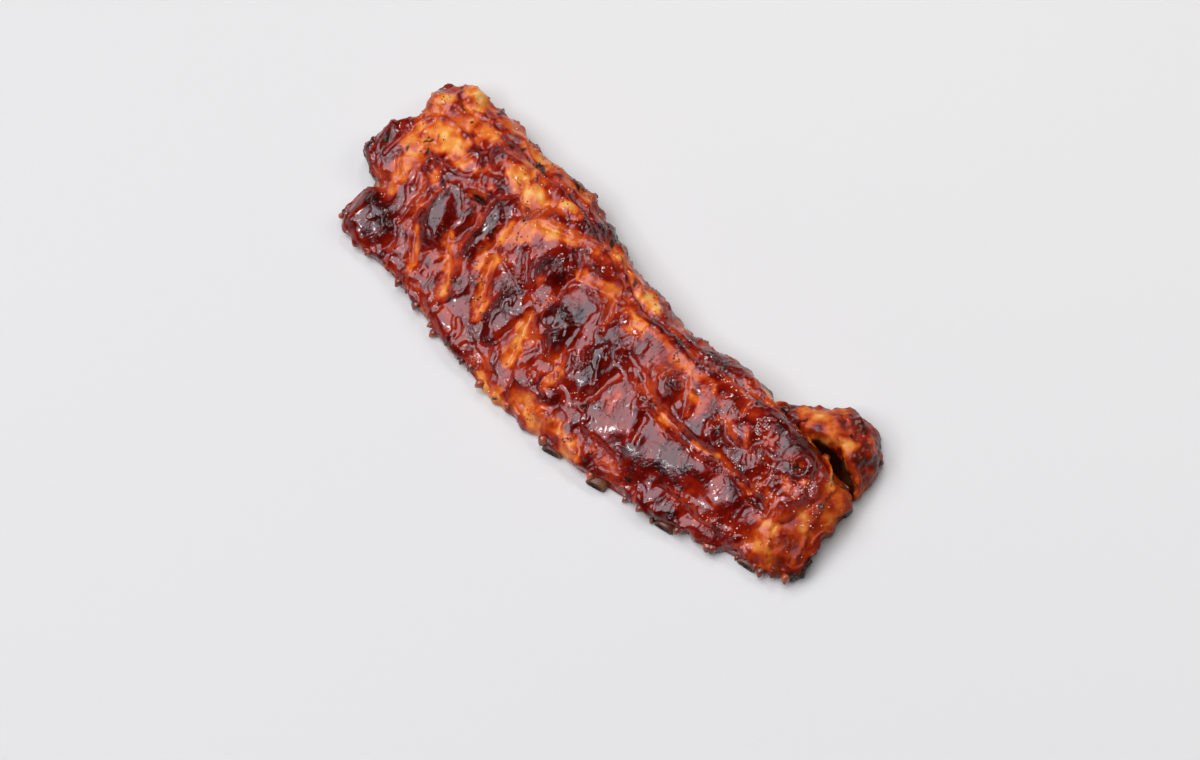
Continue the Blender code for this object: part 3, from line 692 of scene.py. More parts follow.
def enclosed_volume(mesh):
    """The volume in a closed mesh: a sixth of the sum of corner . (corner x corner) over its triangles."""
    mesh.calc_loop_triangles()
    index = np.empty(len(mesh.loop_triangles) * 3, dtype=np.int64)
    mesh.loop_triangles.foreach_get("vertices", index)
    a, b, c = corners_of(mesh)[index.reshape(-1, 3)].transpose(1, 0, 2)
    return np.einsum("ij,ij->", a, np.cross(b, c)) / 6


def past_solid(piece, solid):
    """How many mm a piece goes past its solid's box: beyond its lowest corner, then beyond its highest."""
    points = corners_of(piece.data)
    low, high = np.array([tuple(corner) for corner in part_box(solid)])
    return ((low - points.min(axis=0)) / MM).round(1), ((points.max(axis=0) - high) / MM).round(1)


# %% Make a mesh from a grid
def piece_from_grid(name, grid, values=None):
    """A closed mesh from a grid whose first and last rings are poles, with values kept on its points."""
    rings, spokes = grid.shape[0] - 2, grid.shape[1]
    body = grid[1:-1].reshape(-1, 3)
    points = np.vstack([body, grid[0].mean(axis=0), grid[-1].mean(axis=0)]) + PLAN_SHIFT
    ring = np.arange(rings - 1)[:, None] * spokes
    here, there = np.arange(spokes), (np.arange(spokes) + 1) % spokes
    quads = np.stack([ring + here, ring + spokes + here, ring + spokes + there, ring + there], axis=-1)
    first, last, top = len(body), len(body) + 1, len(body) - spokes
    caps = [(first, int(a), int(b)) for a, b in zip(here, there)]
    caps += [(last, int(top + b), int(top + a)) for a, b in zip(here, there)]
    mesh = bpy.data.meshes.new(name)
    mesh.from_pydata(points.tolist(), [], quads.reshape(-1, 4).tolist() + caps)
    inside_out = enclosed_volume(mesh) < 0
    if inside_out:
        mesh.flip_normals()
    mesh.shade_smooth()
    for key, value in (values or {}).items():
        ends = [value[0].mean(), value[-1].mean()]
        layer = mesh.attributes.new(key, "FLOAT", "POINT")
        layer.data.foreach_set("value", np.concatenate([value[1:-1].ravel(), ends]).astype(np.float32))
    piece = bpy.data.objects.new(name, mesh)
    bpy.context.scene.collection.objects.link(piece)
    print(name, len(mesh.vertices), "points, turned over" if inside_out else "points")
    return piece


glazed_meat = piece_from_grid("glazed_meat", slab_shape, measures)
print("past its solid, mm:", *past_solid(glazed_meat, "meat"))

# %% [markdown]
# ## The folded flap
#
# A strip of meat has curled up beside the far end. It is lower and drier than the slab, and it runs into
# it. A hollow is left between the two, darkened with painted shade. The flap is a surface of its own, in
# the same terms as the slab, because one grid can't fold over itself that sharply.

# %% The flap's surface
FLAP_X = (0.114, 0.195)
FLAP_INNER = (
    (0.114, 0.037), (0.132, 0.030), (0.148, 0.031), (0.157, 0.035), (0.172, 0.034), (0.195, 0.031),
)
FLAP_OUTER = (
    (0.114, 0.046), (0.126, 0.054), (0.140, 0.066), (0.152, 0.074), (0.163, 0.077), (0.177, 0.074),
    (0.187, 0.063), (0.195, 0.048),
)
FLAP_CROWN = ((0.0, 0.70), (0.3, 0.98), (0.5, 1.0), (0.75, 0.86), (1.0, 0.55))
FLAP_THICKNESS = ((0.114, 0.024), (0.135, 0.029), (0.158, 0.034), (0.180, 0.032), (0.195, 0.025))
FLAP_RINGS, FLAP_SPOKES = 150, 130
FLAP_HALVES = (0.041, 0.016, 0.016)
HOLLOW_STARTS, HOLLOW_STOPS, HOLLOW_ACROSS = (0.140, 0.153), (0.188, 0.197), (0.08, 0.27)
HOLLOW_DEPTH = 0.85


def flap_point(s, t, side):
    """The folded flap's surface, in the same terms as the slab's, with a hollow along its inner side."""
    x = (FLAP_X[0] + FLAP_X[1]) / 2 + s * (FLAP_X[1] - FLAP_X[0]) / 2
    across = (t + 1) / 2
    y = through(FLAP_INNER, x) + across * (through(FLAP_OUTER, x) - through(FLAP_INNER, x))
    left = 1 - HOLLOW_DEPTH * flap_hollow(x, across)
    top = through(FLAP_THICKNESS, x) * through(FLAP_CROWN, across) * left
    return np.stack([x, y, top / 2 * (1 + side)], axis=-1)


def flap_hollow(x, across):
    """1 in the hollow between the flap and the slab, easing to 0 at its ends and towards the flap's back."""
    return ease(*HOLLOW_STARTS, x) * (1 - ease(*HOLLOW_STOPS, x)) * (1 - ease(*HOLLOW_ACROSS, across))


flap = grid_of(flap_point, FLAP_RINGS, FLAP_SPOKES, *FLAP_HALVES)
print("flap grid", flap.shape)

# %% The flap's skin and its finish
# Its relief: sizes in metres and heights in mm
FLAP_LUMP_SIZE, FLAP_LUMP_HEIGHT = 0.017, 3.4
FLAP_FOLD_SIZE, FLAP_FOLD_HEIGHT, FLAP_FOLD_SWIRL = 0.010, 1.3, (0.01, 0.004, 74)
FLAP_CREST_SIZE, FLAP_CREST_HEIGHT, FLAP_CREST_SWIRL = 0.005, 0.6, (0.005, 0.002, 78)

flap_normals = normals_of(flap) * turned
flap_relief = (
    FLAP_LUMP_HEIGHT * cloud(flap, FLAP_LUMP_SIZE, 3, 71)
    + FLAP_FOLD_HEIGHT * (np.abs(noise(warped(flap, *FLAP_FOLD_SWIRL), FLAP_FOLD_SIZE, 76)) - MEAN_FOLD)
    + FLAP_CREST_HEIGHT * (crests(warped(flap, *FLAP_CREST_SWIRL), FLAP_CREST_SIZE, 79) - MEAN_FOLD)
)
share = 0.1 + 0.9 * ease(0.0, FOOT_HEIGHT, flap[..., 2])
flap_shape = flap + flap_normals * (flap_relief * share * MM)[..., None]
flap_shape[..., 2] = np.maximum(flap_shape[..., 2] - SETTLE, 0)
flap_x, flap_inner = flap[..., 0], through(FLAP_INNER, flap[..., 0])
flap_across = (flap[..., 1] - flap_inner) / (through(FLAP_OUTER, flap_x) - flap_inner)
flap_rim = np.maximum(ease(0.72, 1.0, flap_across), ease(0.150, 0.120, flap_x))
burnt_spots = 0.75 * ease(0.38, 0.75, noise(flap, 0.006, 82))
flap_measures = {
    "sauce": 0.50 + 0.46 * cloud(flap, 0.013, 3, 84) + 0.24 * flap_rim + 0.05 * np.clip(-flap_relief, -1, 3),
    # In the hollow by the slab the char colour is painted shade; the burnt spots are char
    "char_and_shade": np.maximum(1.6 * flap_hollow(flap_x, flap_across), burnt_spots),
    "dry": 0.35 + 0.25 * ease(-0.3, 0.3, noise(flap, 0.012, 85)),
    "under": ease(*UNDER_LEVELS, flap_normals[..., 2]),
}
flap_measures["dry"] = np.maximum(flap_measures["dry"], DRY_WHERE_BURNT * flap_measures["under"])
print("flap relief, mm:", round(flap_relief.min(), 1), "to", round(flap_relief.max(), 1))
folded_flap = piece_from_grid("folded_flap", flap_shape, flap_measures)

# %% [markdown]
# ## Rib bones
#
# Each bone runs from the thin side up along the underside. Its near end is sawn: a hard brown rim round a
# dark, spongy middle, a little hollow from the heat. Rings carried along the bone's line make the bar, and
# rings that shrink towards the line close its ends. Most bones stop inside the meat, and four reach out of
# it.

# %% The bones' sizes
RIB_COUNT = 13
FIRST_RIB_X = -0.170
RIB_PITCH = 0.0287
RIB_SHIFTS = {7: -0.003, 8: 0.005, 9: -0.001}
RIB_REACH = {7: 0.0040, 8: 0.0045, 10: 0.0050, 12: 0.0020}
RIB_STOPS = {0: 0.40, 1: 0.72}
BONE_WIDTH, BONE_HEIGHT = 0.0125, 0.0085
BONE_INSET, BONE_STOP, BONE_SHOWS_BELOW = 0.0065, 0.80, 0.0012
BONE_RINGS, BONE_SPOKES = 64, 40
FACE_RINGS, TIP_RINGS, TIP_LENGTH = 9, 7, 0.003
RIM_WIDTH, HOLLOW = 0.22, 0.0016
# The bones' lean, at the two ends of the rack, and their girth as a share of its usual one, along them
LEAN_AT, LEAN = (-0.2, 0.2), (-0.44, -0.14)
GIRTH_AT, GIRTH = (0, 0.05, 0.12, 0.3, 0.85, 1), (1.08, 1.18, 1.06, 0.94, 1.0, 0.72)
BURNT_LENGTH = 0.012
print("bones are", round(RIB_PITCH / MM, 1), "mm apart, and", len(RIB_REACH), "reach out of the meat")

# %% One bone
def bone_grid(rib):
    """A bone's grid: an oval of changing girth along its line, and a hollow face of shrinking rings."""
    foot = FIRST_RIB_X + rib * RIB_PITCH + RIB_SHIFTS.get(rib, 0)
    slant = np.interp(foot, LEAN_AT, LEAN)
    start = float(through(THIN_SIDE, foot))
    stop = start + RIB_STOPS.get(rib, BONE_STOP) * (float(through(THICK_SIDE, foot)) - start)
    reach = RIB_REACH.get(rib, -BONE_INSET)
    face = np.linspace(0, 1, FACE_RINGS)[:-1]
    bar = np.linspace(0, 1, BONE_RINGS)
    tip = np.linspace(1, 0, TIP_RINGS)[1:]
    behind_face = np.zeros(len(bar) + len(tip))
    share = np.concatenate([np.zeros(len(face)), bar, np.ones(len(tip))])
    scale = np.concatenate([face, np.ones(len(bar)), np.sqrt(1 - (1 - tip) ** 2)])
    inward = np.concatenate([HOLLOW * (1 - ease(1 - 2 * RIM_WIDTH, 1, face)), behind_face])
    beyond = np.concatenate([np.zeros(len(face) + len(bar)), TIP_LENGTH * (1 - tip)])
    y = start - reach + share * (stop - start + reach) + inward + beyond
    x = foot + slant * (y - start)
    across = (y - through(THIN_SIDE, x)) / (through(THICK_SIDE, x) - through(THIN_SIDE, x))
    arch = np.maximum(ARCH_HEIGHT * (1 - ((2 * np.clip(across, 0, 1) - 1) / ARCH_FOOT) ** 2), 0)
    z = np.maximum(arch - SETTLE, 0) + BONE_HEIGHT / 2 - BONE_SHOWS_BELOW
    girth = np.interp(share, GIRTH_AT, GIRTH) * scale
    turn = np.arange(BONE_SPOKES) * 2 * math.pi / BONE_SPOKES
    side = np.array([1.0, -slant]) / math.hypot(1, slant)
    wide = BONE_WIDTH / 2 * girth[:, None] * np.cos(turn)
    grid = np.stack([
        x[:, None] + wide * side[0],
        y[:, None] + wide * side[1],
        z[:, None] + BONE_HEIGHT / 2 * girth[:, None] * np.sin(turn),
    ], axis=-1)
    sawn = np.concatenate([1 - ease(1 - RIM_WIDTH, 1, face), behind_face])
    return grid, np.repeat(sawn[:, None], BONE_SPOKES, axis=1)


def bone_piece(rib):
    """One bone with its roughness: shallow pits along it and a broken, spongy face at its end."""
    grid, sawn = bone_grid(rib)
    axis = grid.mean(axis=1, keepdims=True)
    rough = 0.35 * cloud(grid, 0.006, 2, 90 + rib) + 0.9 * sawn * noise(grid, 0.0016, 95)
    grid = axis + (grid - axis) * (1 + 0.06 * cloud(grid, 0.007, 2, 90 + rib))[..., None]
    grid[..., 1] += rough * sawn * 0.6 * MM
    grid[..., 2] = np.maximum(grid[..., 2], 0)
    near = ease(BURNT_LENGTH, 0.0, grid[..., 1] - grid[..., 1].min())
    values = {"sawn": sawn, "burnt": near * (0.9 + 0.4 * noise(grid, 0.005, 97))}
    return piece_from_grid(f"bone_{rib + 1:02d}", grid, values)


bones = [bone_piece(rib) for rib in range(RIB_COUNT)]
print("first bone past its solid, mm:", *past_solid(bones[0], "rib_bone_01"))

# %% [markdown]
# ## Small things on the sauce
#
# Sauce that has boiled leaves beads and burst bubbles, the rub leaves coarse pepper, and crisp edges
# crumble into flakes of char. Each kind is one mesh of many small lumps. A lump is a sphere of a few dozen
# faces, squashed, with each of its corners moved a little. It is set on a point of the slab's skin and
# turned to that point's normal. Torn tips of meat along the edge are the same lumps, larger and drawn in
# towards their top.

# %% One lump
def small_sphere(turns, rings):
    """A unit sphere: rings of corners at even angles down from its top, then its two poles; and its faces."""
    down = np.linspace(0, math.pi, rings + 1)[1:-1, None]
    turn = np.arange(turns) * 2 * math.pi / turns
    height = np.cos(down) * np.ones(turns)
    body = np.stack([np.sin(down) * np.cos(turn), np.sin(down) * np.sin(turn), height], axis=-1)
    points = np.vstack([body.reshape(-1, 3), [[0, 0, 1], [0, 0, -1]]])
    here, there = np.arange(turns), (np.arange(turns) + 1) % turns
    top, low, last = len(points) - 2, len(points) - 1, (rings - 2) * turns
    upper = np.stack([here, there, np.full(turns, top)], axis=-1)
    lower = np.stack([last + there, last + here, np.full(turns, low)], axis=-1)
    ring = np.arange(rings - 2)[:, None] * turns
    sides = np.stack([ring + here, ring + turns + here, ring + turns + there, ring + there], axis=-1)
    return points, np.vstack([upper, lower]), sides.reshape(-1, 4)


print("a lump has", sum(len(faces) for faces in small_sphere(8, 4)[1:]), "faces")

# %% Many lumps in one mesh
STRETCH = (0.7, 1.4)


def chosen_places(grid, normals, weight, count, seed):
    """Points of a grid drawn at random, each as likely as its weight, with their normals."""
    chance = np.clip(weight, 0, None).ravel()
    picks = np.random.default_rng(seed).choice(chance.size, count, replace=False, p=chance / chance.sum())
    return grid.reshape(-1, 3)[picks], normals.reshape(-1, 3)[picks]


def lumps_piece(name, places, normals, sizes_mm, stand, unevenness, seed, turns=8, rings=4, taper=0.0):
    """One mesh of lumps: place + size * (sphere corner, moved a little and stretched upwards by stand).

    taper draws a lump in towards its top: its width there is 1 - taper of what it was.
    """
    rng = np.random.default_rng(seed)
    unit, triangles, quads = small_sphere(turns, rings)
    aside = np.cross(normals, rng.normal(size=normals.shape))
    aside /= np.linalg.norm(aside, axis=1, keepdims=True)
    ahead = np.cross(normals, aside)
    size = rng.uniform(*sizes_mm, len(places)) * MM
    stretch = rng.uniform(*STRETCH, len(places))
    corner = unit * (1 + unevenness * rng.uniform(-1, 1, (len(places), len(unit), 1)))
    corner[..., :2] *= 1 - taper * np.clip(corner[..., 2:], 0, 1)
    points = places[:, None] + size[:, None, None] * (
        corner[..., 0:1] * (aside * stretch[:, None])[:, None]
        + corner[..., 1:2] * ahead[:, None]
        + stand * corner[..., 2:3] * normals[:, None]
    )
    points[..., 2] = np.maximum(points[..., 2], 0)
    start = np.arange(len(places))[:, None, None] * len(unit)
    faces = (start + triangles).reshape(-1, 3).tolist() + (start + quads).reshape(-1, 4).tolist()
    mesh = bpy.data.meshes.new(name)
    mesh.from_pydata((points.reshape(-1, 3) + PLAN_SHIFT).tolist(), [], faces)
    mesh.shade_smooth()
    if enclosed_volume(mesh) < 0:
        mesh.flip_normals()
    piece = bpy.data.objects.new(name, mesh)
    bpy.context.scene.collection.objects.link(piece)
    print(name, len(places), "lumps,", len(faces), "faces")
    return piece


print("a lump's width is", STRETCH[0], "to", STRETCH[1], "of its size")

# %% Where small things lie
shape_normals = normals_of(slab_shape) * turned
ring_step = np.linalg.norm(np.gradient(slab_shape, axis=0), axis=-1)
spoke_step = np.linalg.norm(np.roll(slab_shape, -1, axis=1) - slab_shape, axis=-1)
cell = ring_step * spoke_step
seen = cell * ease(0.0, 0.5, shape_normals[..., 2])
clusters = ease(0.12, 0.5, noise(slab, 0.024, 111)) * ease(0.0, 0.4, noise(slab, 0.007, 112))
wet = (1 - 0.9 * measures["dry"]) * (1 - 0.8 * slab_calm)
edges = ease(*SIDE_LEVELS, 1 - np.abs(shape_normals[..., 2])) * ease(0.002, 0.008, slab_shape[..., 2])
# Where the sauce has frothed, and its pale bubbles stand as painted glints: centre, half length, half width,
# turn in degrees, strength
GLINTING_FROTH = (
    (104, 8, 9, 5, 30, 1.0), (127, 13, 10, 5, -20, 1.0), (146, -1, 8, 4, 0, 0.9), (123, -11, 9, 3, 0, 0.9),
    (62, 5, 6, 2, 60, 0.9), (150, -14, 8, 3, 0, 0.8), (168, -6, 6, 4, 0, 0.8), (24, -52, 8, 4, -35, 0.5),
    (130, -30, 6, 3, 20, 0.6), (84, 24, 8, 3, 10, 0.6), (172, 8, 5, 6, 0, 0.7), (-44, -20, 7, 4, 0, 0.3),
    (150, -44, 14, 3, 10, 0.5), (186, -2, 4, 8, 0, 0.5), (-96, 20, 8, 3, 30, 0.3), (-150, -2, 9, 4, 0, 0.3),
)
glinting_froth = 0.004 + total(hand_plan, GLINTING_FROTH, patch) * ease(-0.2, 0.3, noise(slab, 0.004, 116))
sprinkled = 0.25 + ease(0.0, 0.4, noise(slab, 0.02, 113))
flaking = (edges * 0.5 + 3 * ease(0.3, 0.7, measures["char_and_shade"])) * ease(-0.2, 0.3, noise(slab, 0.02, 115))
print("skin that faces up, square metres:", round(float(seen.sum()), 4))

# %% Beads, bubbles, pepper and char
# What lies where, how many, its size in mm, how far it stands up, how uneven it is, and its first seed
SCATTERED = {
    "sauce_beads": (seen * wet * (0.03 + clusters), 1200, (0.3, 0.9), 0.8, 0.06, 1),
    # The pale bubbles are painted glints: their pale colour stands for light glinting on them
    "painted_glint_bubbles": (seen * glinting_froth, 430, (0.24, 0.56), 0.9, 0.03, 7),
    "pepper_grains": (seen * sprinkled, 420, (0.20, 0.55), 0.6, 0.35, 3),
    "char_flakes": (cell * flaking, 260, (0.5, 1.5), 0.3, 0.4, 5),
}
scattered = {}
for name, (chance, count, sizes_mm, stand, unevenness, seed) in SCATTERED.items():
    places, ways = chosen_places(slab_shape, shape_normals, chance, count, seed)
    scattered[name] = lumps_piece(name, places, ways, sizes_mm, stand, unevenness, seed + 1)

# %% Torn tips
# Torn tips of meat and drips at the edge: the spots in mm that they are nearest to
TIPS = (
    (-94, -82, 8), (-90, -82, 4), (-58, -84, 8), (-51, -84, 6), (97, -76, 8), (154, -62, 9), (150, -64, 5),
    (131, 58, 19), (-128, -70, 8), (20, -84, 7), (-10, -86, 7), (-110, -76, 6), (60, -82, 6), (126, -70, 7),
    (180, -56, 8), (188, -52, 7), (201, -40, 9), (-196, -66, 8), (-160, -66, 6), (-40, -86, 5), (84, -80, 5),
    (110, -72, 4), (166, -60, 5), (195, 0, 6), (186, 66, 14), (170, 78, 20), (194, 52, 8),
)
TIP_DROOP = 0.4


def nearest_places(grid, normals, spots):
    """The grid's points nearest to some spots in mm, and their normals leaning down a little."""
    flat = grid.reshape(-1, 3)
    picks = [np.argmin(np.sum((flat - spot) ** 2, axis=-1)) for spot in np.array(spots, float) * MM]
    ways = normals.reshape(-1, 3)[picks] + (0, 0, -TIP_DROOP)
    return flat[picks], ways / np.linalg.norm(ways, axis=-1, keepdims=True)


places, ways = nearest_places(slab_shape, shape_normals, TIPS)
torn_tips = lumps_piece(
    "torn_tips", places, ways, sizes_mm=(1.6, 3.4), stand=1.3, unevenness=0.03, seed=9,
    turns=18, rings=14, taper=0.5,
)

# %% [markdown]
# ## Colours and a node helper
#
# A colour is written as it looks on a screen, and one function turns it to the linear light that a renderer
# works in. One small function adds a node with its settings and its links.

# %% Helpers for materials
def linear(code):
    """A colour written #RRGGBB as linear red, green, blue and 1: ((c + 0.055) / 1.055)^2.4 above 0.04045."""
    parts = [int(code[k:k + 2], 16) / 255 for k in (1, 3, 5)]
    return (*[c / 12.92 if c <= 0.04045 else ((c + 0.055) / 1.055) ** 2.4 for c in parts], 1.0)


def node(tree, kind, links, out=0, stops=(), **settings):
    """Adds a shader node and gives back its output out.

    links maps an input, by name or number, to a socket, a number or a colour code. settings are the node's
    own options, and stops are a ramp's (place, colour code or grey) pairs.
    """
    made = tree.nodes.new("ShaderNode" + kind)
    for key, value in settings.items():
        setattr(made, key, value)
    for _ in stops[2:]:
        made.color_ramp.elements.new(0.5)
    for k, (place, colour) in enumerate(stops):
        element = made.color_ramp.elements[k]
        element.position = place
        element.color = linear(colour) if isinstance(colour, str) else (colour,) * 3 + (1,)
    for key, value in links.items():
        if isinstance(value, bpy.types.NodeSocket):
            tree.links.new(value, made.inputs[key])
        else:
            made.inputs[key].default_value = linear(value) if isinstance(value, str) else value
    return made.outputs[out] if made.outputs else made


def empty_material(name):
    """A material with no nodes yet, and its node tree."""
    made = bpy.data.materials.new(name)
    made.use_nodes = True
    made.node_tree.nodes.clear()
    return made, made.node_tree


# A Mix node that mixes colours has them on these inputs and gives them on this output
COLOUR_A, COLOUR_B, COLOUR_OUT = 6, 7, 2
MIX_COLOURS = {"data_type": "RGBA", "out": COLOUR_OUT}
MULTIPLY_ADD = {"operation": "MULTIPLY_ADD"}
MULTIPLY = {"operation": "MULTIPLY"}
# Over this many mm, a size gives the Scale of a noise texture with lumps about that wide
NOISE_SCALE = 500
print("#808080 in linear light:", round(linear("#808080")[0], 3))

# %% [markdown]
# ## Barbecue sauce over roast pork
#
# The sauce is sugar, tomato and molasses, cooked until it is nearly black where it lies thick and clear red
# where it is thin. Over it lies a wet, smooth skin, so the material is a rough brown body under a glossy
# coat. Light that goes into the sauce comes back tinted by how deep it went, which is why its colour is a
# ramp on the measure of depth, and not a mixture. Sugar syrup has an IOR of about 1.45 to 1.5.

# %% What the sauce reads
SAUCE_DEPTHS = (
    (0.00, "#E4AE66"), (0.10, "#DF9444"), (0.22, "#D87A2E"), (0.34, "#CA591A"), (0.48, "#AD360C"),
    (0.62, "#861603"), (0.76, "#610601"), (0.89, "#3E0300"), (1.00, "#240201"),
)
# The first colour below is char's, and it is also the painted shade in hollows and in the flap's gap
CHAR_AND_SHADE, PEPPER = "#140B09", "#2A0E08"
PEPPER_CELLS = 260.0
SYRUP_IOR = 1.5
ALONG_RIBS = {"Rotation": (0, 0, -RIB_LEAN)}

sauce, tree = empty_material("sticky_sauce_over_pork")
place = node(tree, "TexCoord", {}, out="Object")
sauce_lies, char_and_shade_lie, dry, under = [
    node(tree, "Attribute", {}, out="Fac", attribute_name=key) for key in ("sauce", "char_and_shade", "dry", "under")
]
drawn = node(tree, "Mapping", {"Vector": place, **ALONG_RIBS, "Scale": (1, 0.4, 1)})
# Muscle is mottled in patches about 7 mm wide, and its fibres lie in bundles of about 3 mm
mottle = node(tree, "TexNoise", {"Vector": place, "Scale": NOISE_SCALE / 7, "Detail": 4, "Distortion": 0.6})
fibre = node(tree, "TexNoise", {"Vector": drawn, "Scale": NOISE_SCALE / 3, "Detail": 3, "Distortion": 0.4})
specks = node(tree, "TexNoise", {"Vector": place, "Scale": NOISE_SCALE / 1.4, "Detail": 1})
print("sauce depths", [stop for stop, colour in SAUCE_DEPTHS])

# %% The sauce's colour
mottled = node(tree, "Math", {0: mottle, 1: 0.42, 2: -0.21}, **MULTIPLY_ADD)
fibrous = node(tree, "Math", {0: fibre, 1: 0.34, 2: -0.17}, **MULTIPLY_ADD)
depth = node(tree, "Math", {0: node(tree, "Math", {0: mottled, 1: fibrous}), 1: sauce_lies})
body = node(tree, "ValToRGB", {"Fac": depth}, stops=SAUCE_DEPTHS)
# Dry meat is roasted brown
crusty = ((0.35, "#4E1A0C"), (0.55, "#7C3113"), (0.75, "#A85220"))
roasted = node(tree, "ValToRGB", {"Fac": mottle}, stops=crusty)
dryness = node(tree, "Math", {0: dry, 1: 0.45}, **MULTIPLY)
body = node(tree, "Mix", {0: dryness, COLOUR_A: body, COLOUR_B: roasted}, **MIX_COLOURS)
# The underside is bare: a brown membrane over the ribs
membrane = node(tree, "ValToRGB", {"Fac": fibre}, stops=((0.3, "#4A2012"), (0.7, "#7A4424")))
underneath = node(tree, "Math", {0: under, 1: 0.8}, **MULTIPLY)
body = node(tree, "Mix", {0: underneath, COLOUR_A: body, COLOUR_B: membrane}, **MIX_COLOURS)
# Char spreads from its specks, and so does the painted shade in hollows and in the flap's gap
char_and_shade_spread = node(tree, "Math", {0: char_and_shade_lie, 1: -0.55})
char_and_shade_mask = node(tree, "Math", {0: specks, 1: 0.5, 2: char_and_shade_spread}, **MULTIPLY_ADD)
char_and_shade_mask = node(tree, "ValToRGB", {"Fac": char_and_shade_mask}, stops=((0.0, 0.0), (0.3, 0.92)))
body = node(tree, "Mix", {0: char_and_shade_mask, COLOUR_A: body, COLOUR_B: CHAR_AND_SHADE}, **MIX_COLOURS)
# Fine pepper under the sauce, strewn in places: a speck in the middle of each cell, 4 mm apart
grains = node(tree, "TexVoronoi", {"Vector": place, "Scale": PEPPER_CELLS}, out="Distance")
grains = node(tree, "ValToRGB", {"Fac": grains}, stops=((0.05, 1.0), (0.11, 0.0)))
strewn = node(tree, "TexNoise", {"Vector": place, "Scale": NOISE_SCALE / 9, "Detail": 1})
strewn = node(tree, "ValToRGB", {"Fac": strewn}, stops=((0.52, 0.0), (0.60, 0.85)))
pepper = node(tree, "Math", {0: grains, 1: strewn}, **MULTIPLY)
body = node(tree, "Mix", {0: pepper, COLOUR_A: body, COLOUR_B: PEPPER}, **MIX_COLOURS)
print("sauce nodes so far", len(tree.nodes))

# %% [markdown]
# ## The skin of the sauce
#
# What makes sauce look sticky is its coat: smooth where it has pooled, crinkled where it has set, and gone
# where the meat is dry or burnt. The body under it is rougher and full of pores. Both are too fine for the
# mesh, so they are bump, with the depth of a real crinkle.

# %% The sauce's shine
creased = node(tree, "Mapping", {"Vector": place, **ALONG_RIBS, "Scale": (1, 0.5, 1)})
crinkles = node(tree, "TexNoise", {
    "Vector": creased, "Scale": NOISE_SCALE / 2, "Detail": 3, "Distortion": 1.4,
})
pores = node(tree, "TexNoise", {"Vector": place, "Scale": NOISE_SCALE / 0.9, "Detail": 1})
dents = node(tree, "Math", {0: pores, 1: 0.25, 2: crinkles}, **MULTIPLY_ADD)
body_normal = node(tree, "Bump", {"Height": dents, "Distance": 0.7 * MM, "Strength": 0.5})
patchy = node(tree, "ValToRGB", {"Fac": mottle}, stops=((0.44, 0.06), (0.60, 1.0)))
coat_normal = node(tree, "Bump", {"Height": crinkles, "Distance": 0.9 * MM, "Strength": patchy})
rough = node(tree, "ValToRGB", {"Fac": mottle}, stops=((0.3, 0.28), (0.7, 0.42)))
rough = node(tree, "Math", {0: dry, 1: 0.2, 2: rough}, **MULTIPLY_ADD)
wetness = node(tree, "Math", {0: sauce_lies, 1: 0.8, 2: 0.4}, **MULTIPLY_ADD)
wetness = node(tree, "Math", {0: dry, 1: -0.95, 2: wetness}, use_clamp=True, **MULTIPLY_ADD)
shader = node(tree, "BsdfPrincipled", {
    "Base Color": body, "Roughness": rough, "IOR": SYRUP_IOR, "Normal": body_normal,
    "Specular IOR Level": 0.05, "Coat Weight": wetness, "Coat Roughness": 0.05, "Coat IOR": SYRUP_IOR,
    "Coat Normal": coat_normal,
})
node(tree, "OutputMaterial", {"Surface": shader})
for piece in (glazed_meat, folded_flap):
    piece.data.materials.append(sauce)
print("sauce nodes", len(tree.nodes))

# %% [markdown]
# ## Roasted bone
#
# Bone browns slowly and stays nearly matt, with a thin film of fat. Its sawn end is a hard rim round marrow
# that has boiled out and burnt. Stains are about 6 mm wide, and the pores of the sponge a little over 1 mm.

# %% The bone's finish
BONE_IOR = 1.5

bone_finish, tree = empty_material("roasted_bone")
place = node(tree, "TexCoord", {}, out="Object")
sawn, burnt = [node(tree, "Attribute", {}, out="Fac", attribute_name=key) for key in ("sawn", "burnt")]
stain = node(tree, "TexNoise", {"Vector": place, "Scale": NOISE_SCALE / 6, "Detail": 4})
sponge = node(tree, "TexNoise", {"Vector": place, "Scale": NOISE_SCALE / 1.2, "Detail": 2})
body = node(tree, "ValToRGB", {"Fac": stain}, stops=((0.3, "#4A1E10"), (0.5, "#7C4526"), (0.7, "#A87A4E")))
marrow = node(tree, "ValToRGB", {"Fac": sponge}, stops=((0.35, "#140A08"), (0.7, "#4A1D10")))
body = node(tree, "Mix", {0: sawn, COLOUR_A: body, COLOUR_B: marrow}, **MIX_COLOURS)
scorched = node(tree, "Math", {0: burnt, 1: 0.75}, **MULTIPLY)
body = node(tree, "Mix", {0: scorched, COLOUR_A: body, COLOUR_B: "#451A0D"}, **MIX_COLOURS)
pits = node(tree, "Bump", {"Height": sponge, "Distance": 0.5 * MM, "Strength": 0.6})
shader = node(tree, "BsdfPrincipled", {
    "Base Color": body, "Roughness": 0.5, "IOR": BONE_IOR, "Normal": pits,
    "Coat Weight": 0.2, "Coat Roughness": 0.3,
})
node(tree, "OutputMaterial", {"Surface": shader})
for bone in bones:
    bone.data.materials.append(bone_finish)
print("bone nodes", len(tree.nodes))

# %% [markdown]
# ## Beads, bubbles, tips, pepper and char
#
# These are small and much alike: a colour that wanders between two or three shades, under more or less of a
# coat. One function makes such a finish from its shades, and what differs is given to it.

